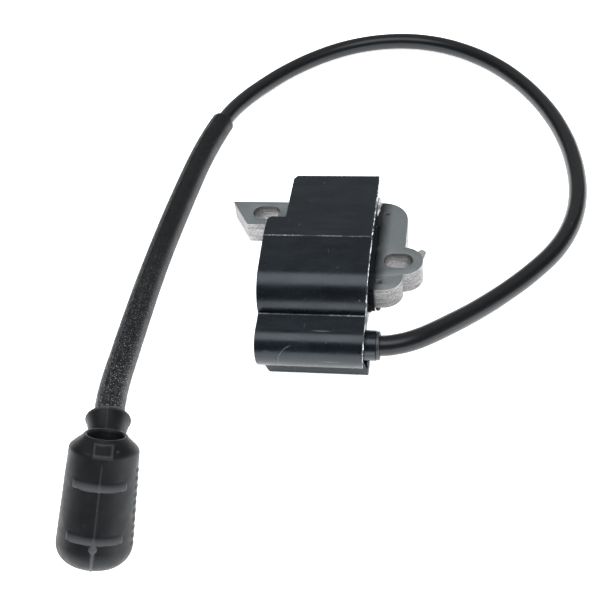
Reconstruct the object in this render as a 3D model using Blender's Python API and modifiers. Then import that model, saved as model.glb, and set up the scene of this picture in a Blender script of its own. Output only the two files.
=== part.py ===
"""Flywheel-side ignition coil of a small two-stroke engine, as separate solids.

Metres, +Z up, +X along the coil's axis. The origin is the middle of the module's footprint on the
surface that it stands on. Pieces of the module are placed in the core's frame: X from the middle of
the housing, Y from the near leg's axis and Z from the top of the steel core.
"""

import math

import bmesh
import bpy
from mathutils import Matrix, Vector

MM = 0.001
GAP = 0.3 * MM

# The core's frame in the world, and the height of the core's top above the surface below.
CORE_TOP = 25.2 * MM
CORE_ORIGIN = Vector((-0.15 * MM, -9.45 * MM, CORE_TOP))

# Steel core: a U of punched sheets, with an elongated mounting slot in each ear.
SHEETS = 12
SHEET_THICK = 0.65 * MM
SHEET_PITCH = 0.70 * MM
STACK = SHEETS * SHEET_PITCH
NEAR_LEG_HALF = 4.4 * MM
NEAR_LEG_END = -18.8 * MM
FAR_LEG_IN, FAR_LEG_OUT = 28.4 * MM, 41.3 * MM
POLE_OUT, POLE_IN = -36.5 * MM, -29.0 * MM
BACK_IN, BACK_OUT = 20.0 * MM, 30.0 * MM
BACK_CORNER = 9.6 * MM
EAR_CENTRE, EAR_RADIUS = (29.6 * MM, 10.4 * MM), 6.9 * MM
HEEL_CENTRE, HEEL_RADIUS = (23.3 * MM, 2.3 * MM), 6.7 * MM
SLOT_LONG, SLOT_WIDE = 10.0 * MM, 7.0 * MM
SLOT_CENTRES = ((-22.75 * MM, 35.2 * MM), (28.0 * MM, 10.56 * MM))
INTERLOCK = 1.9 * MM
INTERLOCK_CENTRES = ((22.1 * MM, 35.2 * MM), (22.1 * MM, 0.0))

# Housing: one moulding with a flat-topped block, a round lobe for the coils and one for the lead.
AXIS_Z = -STACK / 2
LOBE_RADIUS = 12.0 * MM
LOBE_BORE = 10.6 * MM
BLOCK_TOP = 10.5 * MM
CREASE_Y = 11.2 * MM
BLOCK_FAR = 44.2 * MM
BLOCK_BASE = -10.0 * MM
STEP_Y = 21.2 * MM
BLOCK_LEFT = -12.4 * MM
CASE_LEFT, CASE_RIGHT = -19.0 * MM, 19.3 * MM
RIGHT_DRAFT = 0.057
CASE_BASE = -CORE_TOP
LEAD_Y, LEAD_Z = -17.3 * MM, -13.6 * MM
LEAD_LOBE = 8.0 * MM
TOE_FRONT, TOE_BACK = -20.9 * MM, -11.9 * MM
TOE_LEFT, TOE_RIGHT, TOE_SLANT = -17.4 * MM, 19.0 * MM, 1.3 * MM
POT_LOW = (-15.5 * MM, -12.4 * MM)
POT_HIGH = (15.5 * MM, 28.5 * MM)
WALL = 1.5 * MM

# Coils, turned about the near leg's axis.
SPOOL_TUBE, FLANGE, FLANGE_THICK = 6.95 * MM, 10.2 * MM, 1.0 * MM
LEG_HOLE_HALF = 4.7 * MM
PRIMARY_SPAN = (-16.9 * MM, 2.6 * MM)
CHARGE_SPAN = (3.2 * MM, 16.0 * MM)
WINDING_GAP = 0.15 * MM
SECONDARY_TUBE = (8.15 * MM, 8.65 * MM)
SECTIONS = 4
FIN_THICK = 0.8 * MM
TURNED_STEPS = 32

# Lead: 7.1 mm high-tension cable, and the bush that it leaves the housing by.
LEAD_RADIUS = 3.55 * MM
BUSH_START, BUSH_END = 14.4 * MM, 23.2 * MM
BUSH_RADIUS, BUSH_WAIST, BUSH_BORE = 4.95 * MM, 4.6 * MM, 3.85 * MM
CABLE_STEP = 12.0 * MM

# World places that the lead is bent through by hand, in millimetres: X, Y and the height of its centre.
LEAD_ROUTE = (
    (-3.1, -26.8, 11.6), (21.1, -26.8, 11.6), (28.6, -25.7, 11.5), (34.8, -22.8, 11),
    (40.4, -18.3, 9.9), (46.8, -12, 8.2), (54.6, -3.7, 6), (63.6, 6.2, 4.3),
    (73.8, 17.8, 3.6), (83.4, 30.8, 3.55), (89.8, 45, 3.55), (93.1, 61.1, 3.55),
    (93.2, 79.6, 3.55), (90.1, 99.6, 3.55), (83.6, 120, 3.55), (73.2, 140, 3.55),
    (60, 156.8, 3.55), (45, 168.8, 3.55), (30.1, 175.5, 3.55), (15.6, 177.7, 3.55),
    (1.2, 176.1, 3.55), (-12.8, 170.8, 3.55), (-25.8, 162, 3.6), (-36.8, 151.2, 3.8),
    (-45.4, 139.6, 4.2), (-51.8, 128.6, 4.8), (-57, 116.6, 5.2), (-60.8, 101.6, 5.3),
    (-63.8, 82.1, 5.3), (-66, 55.6, 5.3), (-67.5, 30.9, 5.3), (-68.3, 8.2, 5.3),
    (-68.5, -12.8, 5.3), (-68.4, -30.4, 5.4), (-68, -42.4, 6), (-66.8, -52.9, 6.9),
    (-64.8, -63.4, 7.4), (-62.3, -76.4, 7.15), (-59.8, -89.4, 6.9), (-57.3, -102.4, 6.65),
)

# Sleeve and plug boot, on the free end of the lead.
SLEEVE_RADIUS, SLEEVE_WALL = 5.05 * MM, 1.1 * MM
SLEEVE_FIRST_Y, SLEEVE_LAST_Y = 114.0 * MM, -63.6 * MM
SLEEVE_SIDE_X = -50.0 * MM
SLEEVE_STEP = 6.0 * MM
NECK_FROM = Vector((-56.75, -105.35, 6.6)) * MM
NECK_TO = Vector((-65.4, -60.2, 7.5)) * MM
NECK_RADIUS = 6.0 * MM
COLLAR_RADIUS, COLLAR_LENGTH = 7.4 * MM, 6.4 * MM
SLEEVE_SOCKET = 5.6 * MM
BOOT_BASE = Vector((-56.25, -112.75, 6.3)) * MM
BOOT_RISE, BOOT_TURN = math.radians(50.3), math.radians(-11.1)
BOOT_LENGTH = 36.9 * MM
BOOT_END_RADIUS, BOOT_SHOULDER_RADIUS = 11.4 * MM, 10.4 * MM
BOOT_ROUND = 7.0 * MM
MOUTH_RADIUS, MOUTH_RISE = 6.4 * MM, 3.0 * MM
SOCKET_RADIUS, SOCKET_FLOOR = 5.5 * MM, 12.0 * MM
SPRING_TURNS, SPRING_RADIUS, SPRING_WIRE = 5, 4.0 * MM, 0.45 * MM


def clear_scene():
    for found in list(bpy.data.objects):
        bpy.data.objects.remove(found, do_unlink=True)


def new_collection(name):
    made = bpy.data.collections.new(name)
    bpy.context.scene.collection.children.link(made)
    return made


def new_material(name, colour, roughness, metallic=0.0):
    made = bpy.data.materials.new(name)
    made.use_nodes = True
    shader = made.node_tree.nodes["Principled BSDF"]
    shader.inputs["Base Color"].default_value = (*colour, 1.0)
    shader.inputs["Roughness"].default_value = roughness
    shader.inputs["Metallic"].default_value = metallic
    return made


clear_scene()
PARTS = new_collection("ignition_coil")
CUTTERS = new_collection("cutters")
CORE_FRAME = bpy.data.objects.new("core_frame", None)
CORE_FRAME.location = CORE_ORIGIN
PARTS.objects.link(CORE_FRAME)


def add_part(name, data, material, in_core=True):
    """A named piece, in the core's frame or in the world's."""
    made = bpy.data.objects.new(name, data)
    if material and not data.materials:
        data.materials.append(material)
    PARTS.objects.link(made)
    if in_core:
        made.parent = CORE_FRAME
    return made


def boolean(target, data, operation="DIFFERENCE", matrix=None):
    """Cut or join a mesh or curve's shape into the target, in the target's own frame."""
    cutter = bpy.data.objects.new(f"{target.name}_cutter", data)
    cutter.hide_render = True
    cutter.display_type = "WIRE"
    CUTTERS.objects.link(cutter)
    cutter.parent = target.parent
    if matrix:
        cutter.matrix_basis = matrix
    step = target.modifiers.new(cutter.name, "BOOLEAN")
    step.operation = operation
    step.solver = "EXACT"
    step.object = cutter
    return cutter


def box_mesh(name, low, high):
    """A box between two corners."""
    mesh = bpy.data.meshes.new(name)
    shape = bmesh.new()
    size = Vector(high) - Vector(low)
    middle = (Vector(high) + Vector(low)) / 2
    bmesh.ops.create_cube(shape, size=1.0, matrix=Matrix.Translation(middle) @ Matrix.Diagonal((*size, 1.0)))
    shape.to_mesh(mesh)
    shape.free()
    return mesh


def cylinder_mesh(name, radius, start, end, segments=TURNED_STEPS):
    """A cylinder between the centres of its two ends."""
    mesh = bpy.data.meshes.new(name)
    shape = bmesh.new()
    along = Vector(end) - Vector(start)
    place = Matrix.Translation((Vector(start) + Vector(end)) / 2)
    turn = along.to_track_quat("Z", "Y").to_matrix().to_4x4()
    bmesh.ops.create_cone(
        shape, cap_ends=True, segments=segments, radius1=radius, radius2=radius,
        depth=along.length, matrix=place @ turn,
    )
    shape.to_mesh(mesh)
    shape.free()
    return mesh


def arc(centre, radius, start, end, steps):
    """Points on an arc, by angles in degrees, both ends included."""
    turn = [math.radians(start + (end - start) * i / steps) for i in range(steps + 1)]
    return [(centre[0] + radius * math.cos(a), centre[1] + radius * math.sin(a)) for a in turn]


def flat_curve(name, outlines, half_thick):
    """A flat plate as a filled curve: the first outline is its edge and the others are its holes."""
    curve = bpy.data.curves.new(name, "CURVE")
    curve.dimensions = "2D"
    curve.fill_mode = "BOTH"
    curve.extrude = half_thick
    for outline in outlines:
        spline = curve.splines.new("POLY")
        spline.points.add(len(outline) - 1)
        for point, (x, y) in zip(spline.points, outline):
            point.co = (x, y, 0.0, 1.0)
        spline.use_cyclic_u = True
    return curve


def curve_to_mesh(curve, matrix=None):
    """The curve's evaluated shape as a welded mesh, turned by a matrix."""
    stand_in = bpy.data.objects.new(curve.name, curve)
    CUTTERS.objects.link(stand_in)
    graph = bpy.context.evaluated_depsgraph_get()
    mesh = bpy.data.meshes.new_from_object(stand_in.evaluated_get(graph))
    bpy.data.objects.remove(stand_in)
    shape = bmesh.new()
    shape.from_mesh(mesh)
    bmesh.ops.remove_doubles(shape, verts=shape.verts, dist=1e-6)
    if matrix:
        bmesh.ops.transform(shape, matrix=matrix, verts=shape.verts)
    bmesh.ops.recalc_face_normals(shape, faces=shape.faces)
    shape.to_mesh(mesh)
    shape.free()
    return mesh


def section_mesh(name, outline, x_low, x_high):
    """A Y-Z outline drawn out along X."""
    turn = Matrix(((0, 0, 1, 0), (1, 0, 0, 0), (0, 1, 0, 0), (0, 0, 0, 1)))
    place = Matrix.Translation(((x_low + x_high) / 2, 0, 0))
    return curve_to_mesh(flat_curve(name, [outline], (x_high - x_low) / 2), place @ turn)


def turned_mesh(name, profile, matrix, closed=True, steps=TURNED_STEPS):
    """A profile of (height, radius) points turned about Z, outer side from top to bottom, then placed."""
    mesh = bpy.data.meshes.new(name)
    count = len(profile)
    edges = [(i, i + 1) for i in range(count - 1)]
    if closed:
        edges.append((count - 1, 0))
    mesh.from_pydata([(radius, 0.0, height) for height, radius in profile], edges, [])
    stand_in = bpy.data.objects.new(name, mesh)
    CUTTERS.objects.link(stand_in)
    screw = stand_in.modifiers.new("turn", "SCREW")
    screw.steps = screw.render_steps = steps
    screw.use_merge_vertices = True
    screw.merge_threshold = 1e-6
    screw.use_normal_calculate = True
    graph = bpy.context.evaluated_depsgraph_get()
    turned = bpy.data.meshes.new_from_object(stand_in.evaluated_get(graph))
    bpy.data.objects.remove(stand_in)
    shape = bmesh.new()
    shape.from_mesh(turned)
    bmesh.ops.remove_doubles(shape, verts=shape.verts, dist=1e-6)
    bmesh.ops.recalc_face_normals(shape, faces=shape.faces)
    bmesh.ops.transform(shape, matrix=matrix, verts=shape.verts)
    shape.to_mesh(turned)
    shape.free()
    return turned


def along_x(y, z):
    """Turns a piece's Z to +X, and puts its axis at the given height and distance."""
    return Matrix.Translation((0, y, z)) @ Matrix.Rotation(math.pi / 2, 4, "Y")


COIL_AXIS = along_x(0.0, AXIS_Z)


def ring_profile(low, high, inner, outer):
    """A square-sided ring: outer side from top to bottom, then the bore."""
    return [(high, outer), (low, outer), (low, inner), (high, inner)]


def smooth_route(points, step):
    """Points about a step apart on the smooth curve through a route."""
    route = [Vector(p) for p in points]
    ends = [route[0] * 2 - route[1]] + route + [route[-1] * 2 - route[-2]]
    found = [route[0]]
    for i in range(len(route) - 1):
        a, b, c, d = ends[i:i + 4]
        parts = max(1, round((c - b).length / step))
        for part in range(1, parts + 1):
            t = part / parts
            found.append(0.5 * (
                2 * b + (c - a) * t + (2 * a - 5 * b + 4 * c - d) * t * t
                + (3 * b - a - 3 * c + d) * t ** 3
            ))
    return found


def tube_curve(name, points, radius, caps=True):
    curve = bpy.data.curves.new(name, "CURVE")
    curve.dimensions = "3D"
    curve.bevel_depth = radius
    curve.bevel_resolution = 2
    curve.use_fill_caps = caps
    spline = curve.splines.new("POLY")
    spline.points.add(len(points) - 1)
    for point, place in zip(spline.points, points):
        point.co = (*place, 1.0)
    return curve


# ---------------------------------------------------------------- steel core


def circles_meet(first, first_radius, second, second_radius, right=True):
    """Where two circles cross, on the side that is further right."""
    a, b = Vector(first), Vector(second)
    apart = (b - a).length
    along = (apart ** 2 + first_radius ** 2 - second_radius ** 2) / (2 * apart)
    across = math.sqrt(first_radius ** 2 - along ** 2)
    unit = (b - a) / apart
    side = Vector((unit.y, -unit.x)) * across
    return a + unit * along + (side if right else -side)


def angle_of(centre, point):
    return math.degrees(math.atan2(point[1] - centre[1], point[0] - centre[0]))


def core_outline():
    """The U's edge: heel round to the ear, up the back, round the corner and out to the pole face."""
    notch = circles_meet(HEEL_CENTRE, HEEL_RADIUS, EAR_CENTRE, EAR_RADIUS)
    ear_top = math.degrees(math.acos((BACK_OUT - EAR_CENTRE[0]) / EAR_RADIUS))
    corner = (BACK_OUT - BACK_CORNER, FAR_LEG_OUT - BACK_CORNER)
    outline = [
        (POLE_IN, FAR_LEG_IN), (BACK_IN, FAR_LEG_IN), (BACK_IN, NEAR_LEG_HALF),
        (NEAR_LEG_END, NEAR_LEG_HALF), (NEAR_LEG_END, -NEAR_LEG_HALF),
    ]
    outline += arc(HEEL_CENTRE, HEEL_RADIUS, -90, angle_of(HEEL_CENTRE, notch), 8)
    outline += arc(EAR_CENTRE, EAR_RADIUS, angle_of(EAR_CENTRE, notch), ear_top, 12)[1:]
    outline += arc(corner, BACK_CORNER, 0, 90, 7)
    outline.append((POLE_OUT, FAR_LEG_OUT))
    return outline


def slot_outline(centre, long, wide, steps=7):
    """A round-ended slot along X."""
    reach = (long - wide) / 2
    right = arc((centre[0] + reach, centre[1]), wide / 2, -90, 90, steps)
    left = arc((centre[0] - reach, centre[1]), wide / 2, 90, 270, steps)
    return right + left


def square_outline(centre, side):
    x, y = centre
    half = side / 2
    return [(x - half, y - half), (x + half, y - half), (x + half, y + half), (x - half, y + half)]


def build_core():
    steel = new_material("lamination_steel", (0.36, 0.37, 0.38), 0.42, 1.0)
    holes = [slot_outline(centre, SLOT_LONG, SLOT_WIDE) for centre in SLOT_CENTRES]
    holes += [square_outline(centre, INTERLOCK) for centre in INTERLOCK_CENTRES]
    sheet = flat_curve("lamination", [core_outline()] + holes, SHEET_THICK / 2)
    for i in range(SHEETS):
        piece = add_part(f"lamination_{i + 1:02d}", sheet, steel)
        piece.location.z = -SHEET_THICK / 2 - i * SHEET_PITCH


# ------------------------------------------------------------------- housing


def case_outline():
    """The housing's Y-Z section: block top, sloped face, coil lobe, ledge and lead lobe."""
    centre = (0.0, AXIS_Z)
    crease = Vector((CREASE_Y, BLOCK_TOP))
    away = crease - Vector(centre)
    touch = angle_of(centre, crease) + math.degrees(math.acos(LOBE_RADIUS / away.length))
    lobe_end = 183.0
    lead = (LEAD_Y, LEAD_Z)
    outline = [(BLOCK_FAR, BLOCK_TOP), (CREASE_Y, BLOCK_TOP)]
    outline += arc(centre, LOBE_RADIUS, touch, lobe_end, 12)
    outline += arc(lead, LEAD_LOBE, 90, 290, 18)
    outline.append((TOE_BACK, -15.0 * MM))
    outline += arc(centre, LOBE_RADIUS, 225, 270, 5)
    outline += [(STEP_Y, AXIS_Z - LOBE_RADIUS), (STEP_Y, BLOCK_BASE), (BLOCK_FAR, BLOCK_BASE)]
    return outline


def lean_right_end(mesh):
    """Moulding draft: the right end face leans in towards its foot."""
    for vertex in mesh.vertices:
        if vertex.co.x > 0:
            vertex.co.x -= (BLOCK_TOP - vertex.co.z) * RIGHT_DRAFT


def toe_mesh():
    """The foot below the lead lobe, with a slanted left end."""
    mesh = box_mesh("toe", (TOE_LEFT, TOE_FRONT, CASE_BASE), (TOE_RIGHT, TOE_BACK, LEAD_Z - 3.0 * MM))
    for vertex in mesh.vertices:
        if vertex.co.x < 0 and vertex.co.z < LEAD_Z - LEAD_LOBE:
            vertex.co.x += TOE_SLANT
    return mesh


def step_cutter():
    """What is missing beside the block: a corner region with a rounded step and a chamfered back."""
    out, deep = CASE_LEFT - 6 * MM, BLOCK_FAR + 3 * MM
    outline = [
        (out, STEP_Y - 2.6 * MM), (CASE_LEFT - 1.0 * MM, STEP_Y - 2.6 * MM), (CASE_LEFT, STEP_Y - 1.6 * MM),
        (CASE_LEFT + 0.5 * MM, STEP_Y - 0.5 * MM), (CASE_LEFT + 1.6 * MM, STEP_Y), (BLOCK_LEFT, STEP_Y),
        (BLOCK_LEFT, BLOCK_FAR - 1.8 * MM), (BLOCK_LEFT + 1.2 * MM, BLOCK_FAR), (BLOCK_LEFT + 1.2 * MM, deep),
        (out, deep),
    ]
    return curve_to_mesh(flat_curve("step", [outline], 20 * MM))


def build_case():
    black = new_material("case_plastic", (0.018, 0.020, 0.023), 0.28)
    body = section_mesh("case_shell", case_outline(), CASE_LEFT, CASE_RIGHT)
    lean_right_end(body)
    case = add_part("case_shell", body, black)
    pot_top = -13.0 * MM
    boolean(case, step_cutter())
    boolean(case, toe_mesh(), "UNION")
    boolean(case, box_mesh("pot", (*POT_LOW, CASE_BASE), (*POT_HIGH, BLOCK_BASE + 0.6 * MM)), "UNION")
    boolean(case, cylinder_mesh("coil_bore", LOBE_BORE, (-17.4 * MM, 0, AXIS_Z), (16.4 * MM, 0, AXIS_Z)))
    boolean(case, box_mesh("block_hollow", (-10.8 * MM, 7.5 * MM, 1.7 * MM), (17.2 * MM, 42.6 * MM, 8.9 * MM)))
    boolean(case, box_mesh("window_hollow", (-10.8 * MM, 6.0 * MM, -14.4 * MM), (16.2 * MM, 26.6 * MM, 2.5 * MM)))
    pot_low = (POT_LOW[0] + WALL, POT_LOW[1] + WALL, CASE_BASE - 2 * MM)
    pot_high = (POT_HIGH[0] - WALL, POT_HIGH[1] - WALL, pot_top)
    boolean(case, box_mesh("pot_hollow", pot_low, pot_high))
    leg = LEG_HOLE_HALF
    hole_low, hole_high = -STACK - 0.25 * MM, GAP
    boolean(case, box_mesh("near_leg_hole", (-22 * MM, -leg, hole_low), (22 * MM, leg, hole_high)))
    far_low, far_high = FAR_LEG_IN - GAP, FAR_LEG_OUT + GAP
    boolean(case, box_mesh("far_leg_hole", (-22 * MM, far_low, hole_low), (22 * MM, far_high, hole_high)))
    boolean(case, cylinder_mesh("lead_bore", 4.0 * MM, (-16.6 * MM, LEAD_Y, LEAD_Z), (21 * MM, LEAD_Y, LEAD_Z)))
    bush_hole = BUSH_RADIUS + 0.25 * MM
    bush_from = (BUSH_START - GAP, LEAD_Y, LEAD_Z)
    boolean(case, cylinder_mesh("bush_bore", bush_hole, bush_from, (22 * MM, LEAD_Y, LEAD_Z)))
    boolean(case, box_mesh("wire_way", (-13.6 * MM, LEAD_Y, -15.4 * MM), (-10.6 * MM, -8.0 * MM, -12.4 * MM)))


def build_resin():
    resin = new_material("potting_resin", (0.03, 0.03, 0.032), 0.5)
    low = (POT_LOW[0] + WALL + GAP, POT_LOW[1] + WALL + GAP, CASE_BASE + 0.8 * MM)
    high = (POT_HIGH[0] - WALL - GAP, POT_HIGH[1] - WALL - GAP, CASE_BASE + 4.0 * MM)
    add_part("resin_fill", box_mesh("resin_fill", low, high), resin)


# --------------------------------------------------------------------- coils


def spool(name, span, material):
    """A bobbin with two flanges and a square hole for the leg."""
    low, high = span
    profile = [
        (high, 0.0), (high, FLANGE), (high - FLANGE_THICK, FLANGE), (high - FLANGE_THICK, SPOOL_TUBE),
        (low + FLANGE_THICK, SPOOL_TUBE), (low + FLANGE_THICK, FLANGE), (low, FLANGE), (low, 0.0),
    ]
    made = add_part(name, turned_mesh(name, profile, COIL_AXIS, closed=False), material)
    half_tall = STACK / 2 + 0.25 * MM
    corner = (low - MM, -LEG_HOLE_HALF, AXIS_Z - half_tall)
    boolean(made, box_mesh("leg_hole", corner, (high + MM, LEG_HOLE_HALF, AXIS_Z + half_tall)))


def winding(name, low, high, inner, outer, material):
    profile = ring_profile(low, high, inner, outer)
    add_part(name, turned_mesh(name, profile, COIL_AXIS), material)


def build_coils():
    nylon = new_material("bobbin_nylon", (0.55, 0.50, 0.40), 0.45)
    copper = new_material("enamelled_copper", (0.55, 0.20, 0.08), 0.35, 1.0)
    fine_copper = new_material("fine_copper", (0.48, 0.17, 0.07), 0.4, 1.0)
    inset = FLANGE_THICK + WINDING_GAP
    spool("primary_bobbin", PRIMARY_SPAN, nylon)
    low, high = PRIMARY_SPAN[0] + inset, PRIMARY_SPAN[1] - inset
    winding("primary_winding", low, high, SPOOL_TUBE + WINDING_GAP, 8.0 * MM, copper)
    spool("charge_bobbin", CHARGE_SPAN, nylon)
    charge = (CHARGE_SPAN[0] + inset, CHARGE_SPAN[1] - inset)
    winding("charge_winding", *charge, SPOOL_TUBE + WINDING_GAP, 9.7 * MM, copper)

    inner, outer = SECONDARY_TUBE
    pitch = (high - low - FIN_THICK) / SECTIONS
    profile = [(high, inner)]
    for i in range(SECTIONS, -1, -1):
        top = low + i * pitch + FIN_THICK
        base = top - FIN_THICK
        profile += [(top, outer)] if i < SECTIONS else []
        profile += [(top, FLANGE), (base, FLANGE)]
        profile += [(base, outer)] if i > 0 else []
    profile.append((low, inner))
    add_part("secondary_bobbin", turned_mesh("secondary_bobbin", profile, COIL_AXIS), nylon)
    for i in range(SECTIONS):
        start = low + i * pitch + FIN_THICK + WINDING_GAP
        end = low + (i + 1) * pitch - WINDING_GAP
        winding(f"secondary_winding_{i + 1}", start, end, outer + WINDING_GAP, 9.8 * MM, fine_copper)


# --------------------------------------------------------------- electronics


def build_electronics():
    board = new_material("board_laminate", (0.05, 0.16, 0.07), 0.5)
    film = new_material("capacitor_film", (0.45, 0.06, 0.03), 0.35)
    epoxy = new_material("component_epoxy", (0.02, 0.02, 0.02), 0.4)
    beige = new_material("resistor_lacquer", (0.62, 0.50, 0.33), 0.4)
    add_part("circuit_board", box_mesh("circuit_board", (-10.2 * MM, 12.2 * MM, 2.3 * MM),
                                       (16.6 * MM, 42.0 * MM, 3.4 * MM)), board)
    add_part("film_capacitor", box_mesh("film_capacitor", (-8.0 * MM, 30.0 * MM, 3.7 * MM),
                                        (5.0 * MM, 39.5 * MM, 8.5 * MM)), film)
    round_side = arc((10.6 * MM, 33.5 * MM), 2.4 * MM, -40, 220, 12)
    height = 4.4 * MM
    place = Matrix.Translation((0, 0, 3.7 * MM + height / 2))
    add_part("thyristor", curve_to_mesh(flat_curve("thyristor", [round_side], height / 2), place), epoxy)
    for name, y, radius, half, material in (
        ("charge_diode", 26.0, 1.35, 2.6, epoxy),
        ("clamp_diode", 21.4, 1.35, 2.6, epoxy),
        ("gate_resistor", 17.0, 1.2, 3.0, beige),
    ):
        centre = Vector((9.0, y, 3.8 + radius)) * MM
        reach = Vector((half * MM, 0, 0))
        body = cylinder_mesh(name, radius * MM, centre - reach, centre + reach, 16)
        add_part(name, body, material)


def build_earth_tab():
    """Spade terminal under the stack: a ring round the ear's slot and a blade past the ear's edge."""
    tin = new_material("tinned_brass", (0.62, 0.61, 0.58), 0.35, 1.0)
    x, y = SLOT_CENTRES[1]
    blade_tip, blade_half = 25.4 * MM, 1.6 * MM
    blade_x = 35.2 * MM
    ring = arc((x, y), 6.3 * MM, 62, 378, 20)
    tip = arc((blade_x, blade_tip - blade_half), blade_half, 0, 180, 6)
    outline = ring + tip
    hole = slot_outline((x, y), SLOT_LONG, SLOT_WIDE)
    thick = 0.6 * MM
    tab = add_part("earth_tab", flat_curve("earth_tab", [outline, hole], thick / 2), tin)
    tab.location.z = -(SHEETS - 1) * SHEET_PITCH - SHEET_THICK - 0.1 * MM - thick / 2


# ------------------------------------------------------------ lead and sleeve


def build_lead():
    black = new_material("lead_jacket", (0.012, 0.012, 0.013), 0.22)
    brass = new_material("terminal_brass", (0.66, 0.48, 0.20), 0.3, 1.0)
    rubber = new_material("sleeve_rubber", (0.022, 0.022, 0.024), 0.75)
    seat = along_x(LEAD_Y, LEAD_Z)
    low, high = BUSH_START, BUSH_END
    rim = 0.9 * MM
    mouth = CASE_RIGHT - 0.9 * MM
    profile = [
        (high, BUSH_RADIUS), (high - rim, BUSH_RADIUS), (high - rim, BUSH_WAIST), (mouth + rim, BUSH_WAIST),
        (mouth + rim, BUSH_RADIUS), (mouth, BUSH_RADIUS), (low, BUSH_RADIUS), (low, BUSH_BORE),
        (high, BUSH_BORE),
    ]
    add_part("lead_bush", turned_mesh("lead_bush", profile, seat), rubber)
    pin = [
        (-4.2 * MM, 0.0), (-6.6 * MM, 0.7 * MM), (-13.4 * MM, 0.9 * MM), (-13.4 * MM, 2.6 * MM),
        (-15.6 * MM, 2.6 * MM), (-15.6 * MM, 0.0),
    ]
    add_part("lead_terminal", turned_mesh("lead_terminal", pin, seat, closed=False, steps=20), brass)

    route = [Vector(p) * MM for p in LEAD_ROUTE]
    centre = smooth_route(route, CABLE_STEP)
    add_part("ht_lead", tube_curve("ht_lead", centre, LEAD_RADIUS), black, in_core=False)
    near = [p for p in smooth_route(route, SLEEVE_STEP) if p.x < SLEEVE_SIDE_X]
    inside = [p for p in near if SLEEVE_LAST_Y < p.y < SLEEVE_FIRST_Y]
    sleeve = tube_curve("lead_sleeve", inside, SLEEVE_RADIUS, caps=False)
    made = add_part("lead_sleeve", sleeve, rubber, in_core=False)
    wall = made.modifiers.new("wall", "SOLIDIFY")
    wall.thickness = SLEEVE_WALL
    wall.offset = -1.0


# ----------------------------------------------------------------- plug boot


def boot_frame():
    """The boot's own frame: Z up its socket's axis, from the middle of its closed end."""
    flat = math.cos(BOOT_RISE)
    axis = Vector((-math.sin(BOOT_TURN) * flat, math.cos(BOOT_TURN) * flat, math.sin(BOOT_RISE)))
    side = Vector((math.cos(BOOT_TURN), math.sin(BOOT_TURN), 0.0))
    back = axis.cross(side)
    turn = Matrix((side, back, axis)).transposed().to_4x4()
    return Matrix.Translation(BOOT_BASE) @ turn


def build_boot():
    rubber = new_material("boot_rubber", (0.040, 0.041, 0.044), 0.62)
    steel = new_material("spring_steel", (0.55, 0.55, 0.56), 0.3, 1.0)
    frame = boot_frame()
    shoulder = BOOT_LENGTH
    mouth = BOOT_LENGTH + MOUTH_RISE
    profile = [
        (mouth, 0.0), (mouth, MOUTH_RADIUS), (mouth - 1.2 * MM, MOUTH_RADIUS + 0.1 * MM),
        (shoulder + 0.6 * MM, BOOT_SHOULDER_RADIUS - 1.6 * MM), (shoulder - 1.2 * MM, BOOT_SHOULDER_RADIUS),
    ]
    inner = BOOT_END_RADIUS - BOOT_ROUND
    profile += [
        (BOOT_ROUND - height, inner + radius)
        for radius, height in arc((0, 0), BOOT_ROUND, 0, 90, 6)
    ]
    profile.append((0.0, 0.0))
    body = add_part("plug_boot", turned_mesh("plug_boot", profile, frame, closed=False), rubber, in_core=False)
    boolean(body, cylinder_mesh("neck", NECK_RADIUS, NECK_FROM, NECK_TO, 24), "UNION")

    along = (NECK_TO - NECK_FROM).normalized()
    turn = along.to_track_quat("Z", "Y").to_matrix().to_4x4()
    collar_place = Matrix.Translation(NECK_TO) @ turn
    bead = [(0.0, 0.0), (0.0, COLLAR_RADIUS - 0.3 * MM), (-0.3 * MM, COLLAR_RADIUS)]
    bead += [
        (-COLLAR_LENGTH * t, NECK_RADIUS + 0.05 * MM + (COLLAR_RADIUS - NECK_RADIUS) * (1 - t) ** 1.8)
        for t in (0.15, 0.3, 0.45, 0.65, 1.0)
    ]
    bead.append((-COLLAR_LENGTH, 0.0))
    boolean(body, turned_mesh("collar", bead, collar_place, closed=False, steps=24), "UNION")
    socket_from, socket_to = frame @ Vector((0, 0, SOCKET_FLOOR)), frame @ Vector((0, 0, mouth + 3 * MM))
    boolean(body, cylinder_mesh("socket", SOCKET_RADIUS, socket_from, socket_to))
    sleeve_from, sleeve_to = NECK_TO - along * 4.4 * MM, NECK_TO + along * 4 * MM
    boolean(body, cylinder_mesh("sleeve_socket", SLEEVE_SOCKET, sleeve_from, sleeve_to, 24))
    last = Vector(LEAD_ROUTE[-1]) * MM - along * 0.6 * MM
    boolean(body, cylinder_mesh("lead_socket", LEAD_RADIUS + 0.55 * MM, last, NECK_TO, 20))

    turns = SPRING_TURNS * 12
    rise = 1.9 * MM
    start = SOCKET_FLOOR + SPRING_WIRE + GAP
    helix = [
        frame @ Vector((
            SPRING_RADIUS * math.cos(math.tau * i / 12), SPRING_RADIUS * math.sin(math.tau * i / 12),
            start + rise * i / 12,
        ))
        for i in range(turns + 1)
    ]
    add_part("contact_spring", tube_curve("contact_spring", helix, SPRING_WIRE), steel, in_core=False)


build_core()
build_case()
build_resin()
build_coils()
build_electronics()
build_earth_tab()
build_lead()
build_boot()
bpy.context.view_layer.update()
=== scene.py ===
"""Looks of a small engine's ignition coil: potted housing, laminated core, high-tension lead and boot.

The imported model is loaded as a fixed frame. Each class below holds one sub-assembly's sizes in
millimetres, builds its fine meshes in that frame and dresses them in its finishes.
"""

import logging
import math
from collections.abc import Callable, Sequence
from dataclasses import dataclass, field
from enum import Enum

import bmesh
import bpy
import numpy as np
from mathutils import Matrix, Vector, noise


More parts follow.
